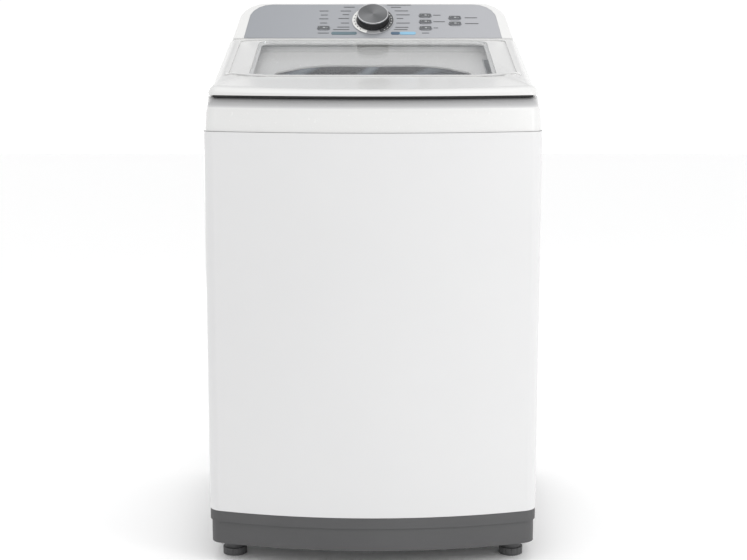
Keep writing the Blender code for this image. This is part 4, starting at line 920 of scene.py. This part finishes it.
# %% Coloured plates
teal = surface("plate_teal", (0.095, 0.150, 0.175), (0.120, 0.180, 0.205), (0.30, 0.38), 700, 0.00001)
navy = surface("plate_navy", (0.050, 0.100, 0.160), (0.065, 0.120, 0.185), (0.30, 0.38), 700, 0.00001)
sky = surface("plate_sky", (0.210, 0.430, 0.600), (0.250, 0.480, 0.650), (0.30, 0.38), 700, 0.00001)
PLATES_UP = 0.0140
PLATE_HEIGHT = 0.0085
PLATE_PRINT_UP = 0.0142
for name, look, width, middle in (
    ("plate_left", teal, 0.050, -0.0565),
    ("plate_right_dark", navy, 0.018, 0.0440),
    ("plate_right_light", sky, 0.032, 0.0680),
):
    plate = soften(flat_pill(width, PLATE_HEIGHT, 0.0004, (middle, PLATES_UP), 0.0001), 0.0001)
    plate.name = name
    dress(set_on_face(plate), look, "machine")
long_marks = [(start, end, PLATE_PRINT_UP) for start, end in ((-0.076, -0.054), (0.062, 0.078))]
dashes("plate_dashes", long_marks, pale_print, 0.0013)
short_marks = [(start, start + 0.003, PLATE_PRINT_UP) for start in (-0.048, -0.042, 0.041, 0.047)]
dashes("plate_dots", short_marks, pale_print, 0.0022)
print("coloured plates are on")

# %% [markdown]
# Each push button is a silver cap with a dark, slightly metallic field on it, which carries a small lamp
# and a generic mark. The cap is the frame's own button with its edge rounded; the field and marks ride
# with it.

# %% Push buttons
button_grey = surface(
    "button_grey", (0.085, 0.090, 0.096), (0.120, 0.125, 0.132), (0.28, 0.36), 900, 0.00002, 0.3
)
mark_print = surface("print_grey", (0.36, 0.37, 0.38), (0.42, 0.43, 0.44), (0.35, 0.45), 800, 0.00001)
FIELD_OUT = 0.00125
MARKS_OUT = 0.0016
# Each button's middle, along the panel and up it.
BUTTONS = {
    "water": (-0.0967, 0.0296), "rinse": (0.1034, 0.0675), "soak": (0.1034, 0.0485),
    "spin": (0.1034, 0.0291), "power": (0.1617, 0.0604), "start": (0.1617, 0.0428),
}
for name, (along, up) in BUTTONS.items():
    cap = rounded_copy("button_" + name, "button_" + name + "_cap", 0.0004, 2)
    # The caps take the panel's silver, with its painted reflection across X.
    dress(cap, silver, name + "_button", ("button_" + name,))
    field = soften(rounded_plate(0.0232, 0.0100, 0.0003, (along, up), FIELD_OUT, 0.0028), 0.0001)
    field.name = "button_" + name + "_field"
    dress(set_on_face(field), button_grey, name + "_button")
    marks = [
        rounded_plate(0.0046, 0.0030, 0.0002, (along + 0.0008, up), MARKS_OUT, 0.0006),
        rounded_plate(0.0030, 0.0010, 0.0002, (along + 0.0064, up - 0.0008), MARKS_OUT, 0.0003),
        rounded_plate(0.0014, 0.0014, 0.0002, (along - 0.0080, up + 0.0020), MARKS_OUT, 0.0005),
    ]
    marks = joined("button_" + name + "_marks", marks)
    dress(set_on_face(marks), mark_print, name + "_button")
print("buttons:", len(BUTTONS))

# %% [markdown]
# The feet are moulded discs with a grip rim, under a steel stud. They are turned finely here and notched
# round the edge, so that a hand or a spanner can turn them.

# %% Levelling feet
FOOT_RADIUS = 0.0209
FOOT_HEIGHT = 0.0130
TIER_RADIUS = 0.0176
TIER_HEIGHT = 0.0200
TIER_MIDDLE = 0.0227
STUD_RADIUS = 0.0048
STUD_LENGTH = 0.0380
STUD_MIDDLE = 0.0512
NUT_RADIUS = 0.0095
NUT_HEIGHT = 0.0052
NUT_MIDDLE = 0.0490


def make_foot(corner):
    low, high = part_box("foot_" + corner)
    centre = (low + high) / 2
    base = drum(FOOT_RADIUS, FOOT_HEIGHT, (centre.x, centre.y, FOOT_HEIGHT / 2), 48)
    sides = [face.index for face in base.data.polygons if abs(face.normal.z) < 0.1]
    pick_listed(base, set(sides[::4]))
    bpy.ops.mesh.inset(thickness=0.0004, use_individual=True)
    bpy.ops.transform.shrink_fatten(value=-0.0008)
    bpy.ops.object.mode_set(mode="OBJECT")
    soften(base, 0.0008)
    tier = soften(drum(TIER_RADIUS, TIER_HEIGHT, (centre.x, centre.y, TIER_MIDDLE), 48), 0.0010)
    foot = joined("foot_" + corner + "_moulded", [base, tier])
    body = "levelling_foot_" + corner
    dress(settle(foot), plinth_grey, body, ("foot_" + corner,))
    stud = drum(STUD_RADIUS, STUD_LENGTH, (centre.x, centre.y, STUD_MIDDLE), 24)
    nut = soften(drum(NUT_RADIUS, NUT_HEIGHT, (centre.x, centre.y, NUT_MIDDLE), 6), 0.0006)
    stud = joined("foot_" + corner + "_stud", [soften(stud, 0.0006), nut])
    dress(settle(stud), steel, body)


for corner in CORNERS:
    make_foot(corner)
print("feet are on their studs")

# %% [markdown]
# The rear panel is a thin galvanised sheet. Pressed ribs stiffen it, and screws hold it along both edges.
# The ribs are long low bars with rounded ends; the screws are domed heads with a cross cut.

# %% Rear panel ribs and screws
rear_low, rear_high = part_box("rear_panel")
REAR_FACE = rear_high.y
RIB_WIDTH = 0.022
RIB_ENDS = (0.10, 0.14)
SCREW_SIDE = 0.272
SCREW_ABOVE_SEAM = 0.012


def rear_rib(x, low, high):
    rib = block((RIB_WIDTH, 0.0030, high - low), (x, REAR_FACE + 0.0011, (low + high) / 2))
    pick_edges(rib, lambda a, b: abs(a.y - b.y) > 0.002)
    bpy.ops.mesh.bevel(offset=0.009, segments=6, affect="EDGES")
    pick_faces(rib, lambda centre, normal: normal.y > 0.9)
    bpy.ops.mesh.inset(thickness=0.0035)
    bpy.ops.transform.translate(value=(0.0, 0.0008, 0.0))
    bpy.ops.object.mode_set(mode="OBJECT")
    return soften(rib, 0.0006)


def screw_head(place, turn, radius=0.0042):
    """A domed head with a cross cut into it."""
    head = drum(radius, 0.0022, (0.0, 0.0, 0.0), 20)
    pick_faces(head, lambda centre, normal: normal.z > 0.9)
    bpy.ops.mesh.bevel(offset=radius * 0.35, segments=3, affect="EDGES")
    bpy.ops.object.mode_set(mode="OBJECT")
    for size in ((radius, radius * 0.22, 0.0016), (radius * 0.22, radius, 0.0016)):
        slot = block(size, (0.0, 0.0, 0.0014))
        cut = head.modifiers.new("slot", "BOOLEAN")
        cut.operation = "DIFFERENCE"
        cut.solver = "EXACT"
        cut.object = slot
        only(head)
        bpy.ops.object.modifier_apply(modifier=cut.name)
        bpy.data.objects.remove(slot, do_unlink=True)
    head.matrix_world = Matrix.Translation(place) @ turn
    return head


ribs = [rear_rib(x, rear_low.z + RIB_ENDS[0], rear_high.z - RIB_ENDS[1]) for x in (-0.10, 0.0, 0.10)]
dress(settle(joined("rear_ribs", ribs)), zinc, "machine")
BACKWARD = Matrix.Rotation(-math.pi / 2, 4, "X")
screws = []
for side in (-1, 1):
    for share in (0.04, 0.27, 0.50, 0.73, 0.96):
        height = rear_low.z + (rear_high.z - rear_low.z) * share
        screws.append(screw_head((side * SCREW_SIDE, REAR_FACE + 0.0008, height), BACKWARD))
seam_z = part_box("console_housing")[0].z + SCREW_ABOVE_SEAM
for x in (-0.21, -0.07, 0.07, 0.21):
    screws.append(screw_head((x, cad_high.y - 0.0005, seam_z), BACKWARD))
dress(settle(joined("rear_screws", screws)), steel, "machine")
print("rear ribs:", len(ribs), "screws:", len(screws))

# %% [markdown]
# The inlet stub at the back is threaded for a hose. The thread is a stack of fine rings, which at this
# size reads the same as a helix and is far lighter.

# %% Hose threads
valve_low, valve_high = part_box("inlet_valve")
STUB_X = 0.180
STUB_RADIUS = 0.0128
THREAD_PITCH = 0.0016
stub_z = (valve_low.z + valve_high.z) / 2
threads = []
for index in range(4):
    thread_y = valve_high.y - 0.0012 - THREAD_PITCH * index
    bpy.ops.object.select_all(action="DESELECT")
    bpy.ops.mesh.primitive_torus_add(
        major_segments=40, minor_segments=8, major_radius=STUB_RADIUS, minor_radius=0.0007,
        location=(STUB_X, thread_y, stub_z), rotation=(math.pi / 2, 0.0, 0.0),
    )
    threads.append(bpy.context.active_object)
dress(settle(joined("inlet_thread", threads)), light_moulding, "machine")
print("inlet thread rings:", len(threads))

# %% [markdown]
# The basket is a rolled sheet of steel with hundreds of small drain holes in rows. Real holes would be
# far too many faces, so the finish draws them: the angle and the height are cut into cells, and a dark,
# sunk disc sits in the middle of each cell.

# %% Perforated basket finish
HOLES_ROUND = 72.0
ROW_HEIGHT = 0.020


def perforated_steel():
    look, tree, shader = start_look("steel_perforated", 1.0)
    across, along, up = parts_of(tree, coordinates(tree))
    turn = maths(tree, "MULTIPLY", maths(tree, "ARCTAN2", along, across), HOLES_ROUND / (2 * math.pi))
    rise = maths(tree, "MULTIPLY", up, 1 / ROW_HEIGHT)
    column = maths(tree, "SUBTRACT", maths(tree, "FRACT", turn), 0.5)
    row = maths(tree, "SUBTRACT", maths(tree, "FRACT", rise), 0.5)
    reach = length_of(tree, column, row)
    solid = spread(tree, reach, 0.0, 1.0, 0.10, 0.13)
    metal = tones_of(tree, noise(tree, 4.0, 3.0, ALONG_Z), (0.52, 0.53, 0.54), (0.63, 0.64, 0.65))
    mix = tree.nodes.new("ShaderNodeMix")
    mix.data_type = "RGBA"
    mix.inputs["A"].default_value = (0.01, 0.01, 0.01, 1.0)
    tree.links.new(solid, mix.inputs["Factor"])
    tree.links.new(metal, mix.inputs["B"])
    tree.links.new(mix.outputs["Result"], shader.inputs["Base Color"])
    tree.links.new(spread(tree, noise(tree, 80.0, 3.0, ALONG_Z), 0.22, 0.34), shader.inputs["Roughness"])
    bump(tree, shader, solid, 0.0012, 0.8)
    return look


perforated = perforated_steel()
basket = rounded_copy("wash_basket", "basket_perforated", 0.0004, 1)
dress(basket, perforated, "basket", ("wash_basket",))
print("basket is perforated")

# %% [markdown]
# A suspension spring is squeezed when the loaded tub sinks. Each one is wound finely here as a curve with a
# round section and turned into a mesh.

# %% Suspension springs
WIRE_RADIUS = 0.0016
SPRING_TURNS = 4
TURN_STEPS = 36


def make_spring(corner):
    node = "suspension_spring_" + corner
    low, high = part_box(node)
    centre = (low + high) / 2
    radius = half_width(node) - WIRE_RADIUS
    bottom, top = low.z + WIRE_RADIUS, high.z - WIRE_RADIUS
    count = SPRING_TURNS * TURN_STEPS
    curve = bpy.data.curves.new(node + "_wound", "CURVE")
    curve.dimensions = "3D"
    curve.bevel_depth = WIRE_RADIUS
    curve.bevel_resolution = 3
    curve.use_fill_caps = True
    path = curve.splines.new("POLY")
    path.points.add(count)
    for index, point in enumerate(path.points):
        angle = 2 * math.pi * index / TURN_STEPS
        height = bottom + (top - bottom) * index / count
        side = (centre.x + radius * math.cos(angle), centre.y + radius * math.sin(angle))
        point.co = (*side, height, 1.0)
    spring = bpy.data.objects.new(node + "_wound", curve)
    bpy.context.scene.collection.objects.link(spring)
    only(spring)
    bpy.ops.object.convert(target="MESH")
    spring = bpy.context.active_object
    dress(settle(spring, 50.0), steel, "machine", (node,))
    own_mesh(spring)


for corner in CORNERS:
    make_spring(corner)

# %% [markdown]
# The motor is a steel can with cooling slots round its side. The slots are thin blocks let into its
# surface, and the can itself comes from the frame. The clutch has a ring of bolts under its rim, and its
# pulley has spokes.

# %% Motor slots, clutch bolts and pulley spokes
SLOT_SIZE = (0.0024, 0.0050, 0.030)
SLOTS_REACH = 0.0520
BOLT_SIZE = (0.0052, 0.0050)
BOLTS_REACH = 0.0695
SPOKE_SIZE = (0.034, 0.009, 0.0030)
SPOKES_REACH = 0.036


def ring_of(node, height, reach, count, make, start=0.0):
    """Pieces set evenly round a solid's middle; make gets each one's place and angle."""
    low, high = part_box(node)
    centre = (low + high) / 2
    made = []
    for index in range(count):
        angle = start + 2 * math.pi * index / count
        place = (centre.x + reach * math.cos(angle), centre.y + reach * math.sin(angle), height)
        made.append(make(place, angle))
    return made


def slot_block(place, angle):
    return soften(block(SLOT_SIZE, place, (0.0, 0.0, angle)), 0.0006)


def bolt_head(place, angle):
    return soften(drum(*BOLT_SIZE, place, 6), 0.0005)


def spoke(place, angle):
    return soften(block(SPOKE_SIZE, place, (0.0, 0.0, angle)), 0.0008)


motor_low, motor_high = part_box("drive_motor")
slots_z = (motor_low.z + motor_high.z) / 2 - 0.004
slots = ring_of("drive_motor", slots_z, SLOTS_REACH, 16, slot_block)
dress(settle(joined("motor_slots", slots)), black_moulding, "tub")
bolts_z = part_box("gear_clutch")[1].z - 0.0125
bolts = ring_of("gear_clutch", bolts_z, BOLTS_REACH, 6, bolt_head, 0.26)
dress(settle(joined("clutch_bolts", bolts)), steel, "tub")
spokes_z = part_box("clutch_pulley")[0].z + 0.0005
spokes = ring_of("clutch_pulley", spokes_z, SPOKES_REACH, 6, spoke)
dress(settle(joined("pulley_spokes", spokes)), cast, "agitator")
print("motor slots:", len(slots), "bolts:", len(bolts), "spokes:", len(spokes))

# %% [markdown]
# The pulsator throws the water about with its vanes. They are moulded with soft edges, so the frame's
# solid is copied and its edges are rounded generously. The tray and the balance ring are copied the same
# way, and all the other solids keep their own form and only get their finish.

# %% Pulsator and the remaining solids
carry("pulsator", light_moulding, "agitator", 0.0022, 25.0, 3)
carry("detergent_tray", light_moulding, "machine", 0.0007, 30.0, 2)
carry("balance_ring", light_moulding, "basket", 0.0020, 30.0, 2)
PLAIN = {
    "rear_panel": zinc, "lid_hinge_pin_left": steel, "lid_hinge_pin_right": steel,
    "lid_bumper_left": rubber, "lid_bumper_right": rubber, "lid_switch": black_moulding,
    "control_board": board_green, "programme_encoder": zinc, "outer_tub": light_moulding,
    "tub_cover": tub_dark, "basket_hub": cast, "lint_filter": light_moulding, "wash_shaft": steel,
    "gear_clutch": cast, "clutch_pulley": cast, "drive_belt": rubber, "drive_motor": zinc,
    "motor_pulley": cast, "drain_pump": plinth_grey, "drain_port": black_moulding,
    "inlet_valve": light_moulding, "cord_gland": black_moulding,
}
for corner in CORNERS:
    PLAIN["suspension_rod_" + corner] = steel
    PLAIN["corner_bracket_" + corner] = zinc
for node, look in PLAIN.items():
    nodes[node].data.materials.clear()
    nodes[node].data.materials.append(look)
print("plain solids dressed:", len(PLAIN))
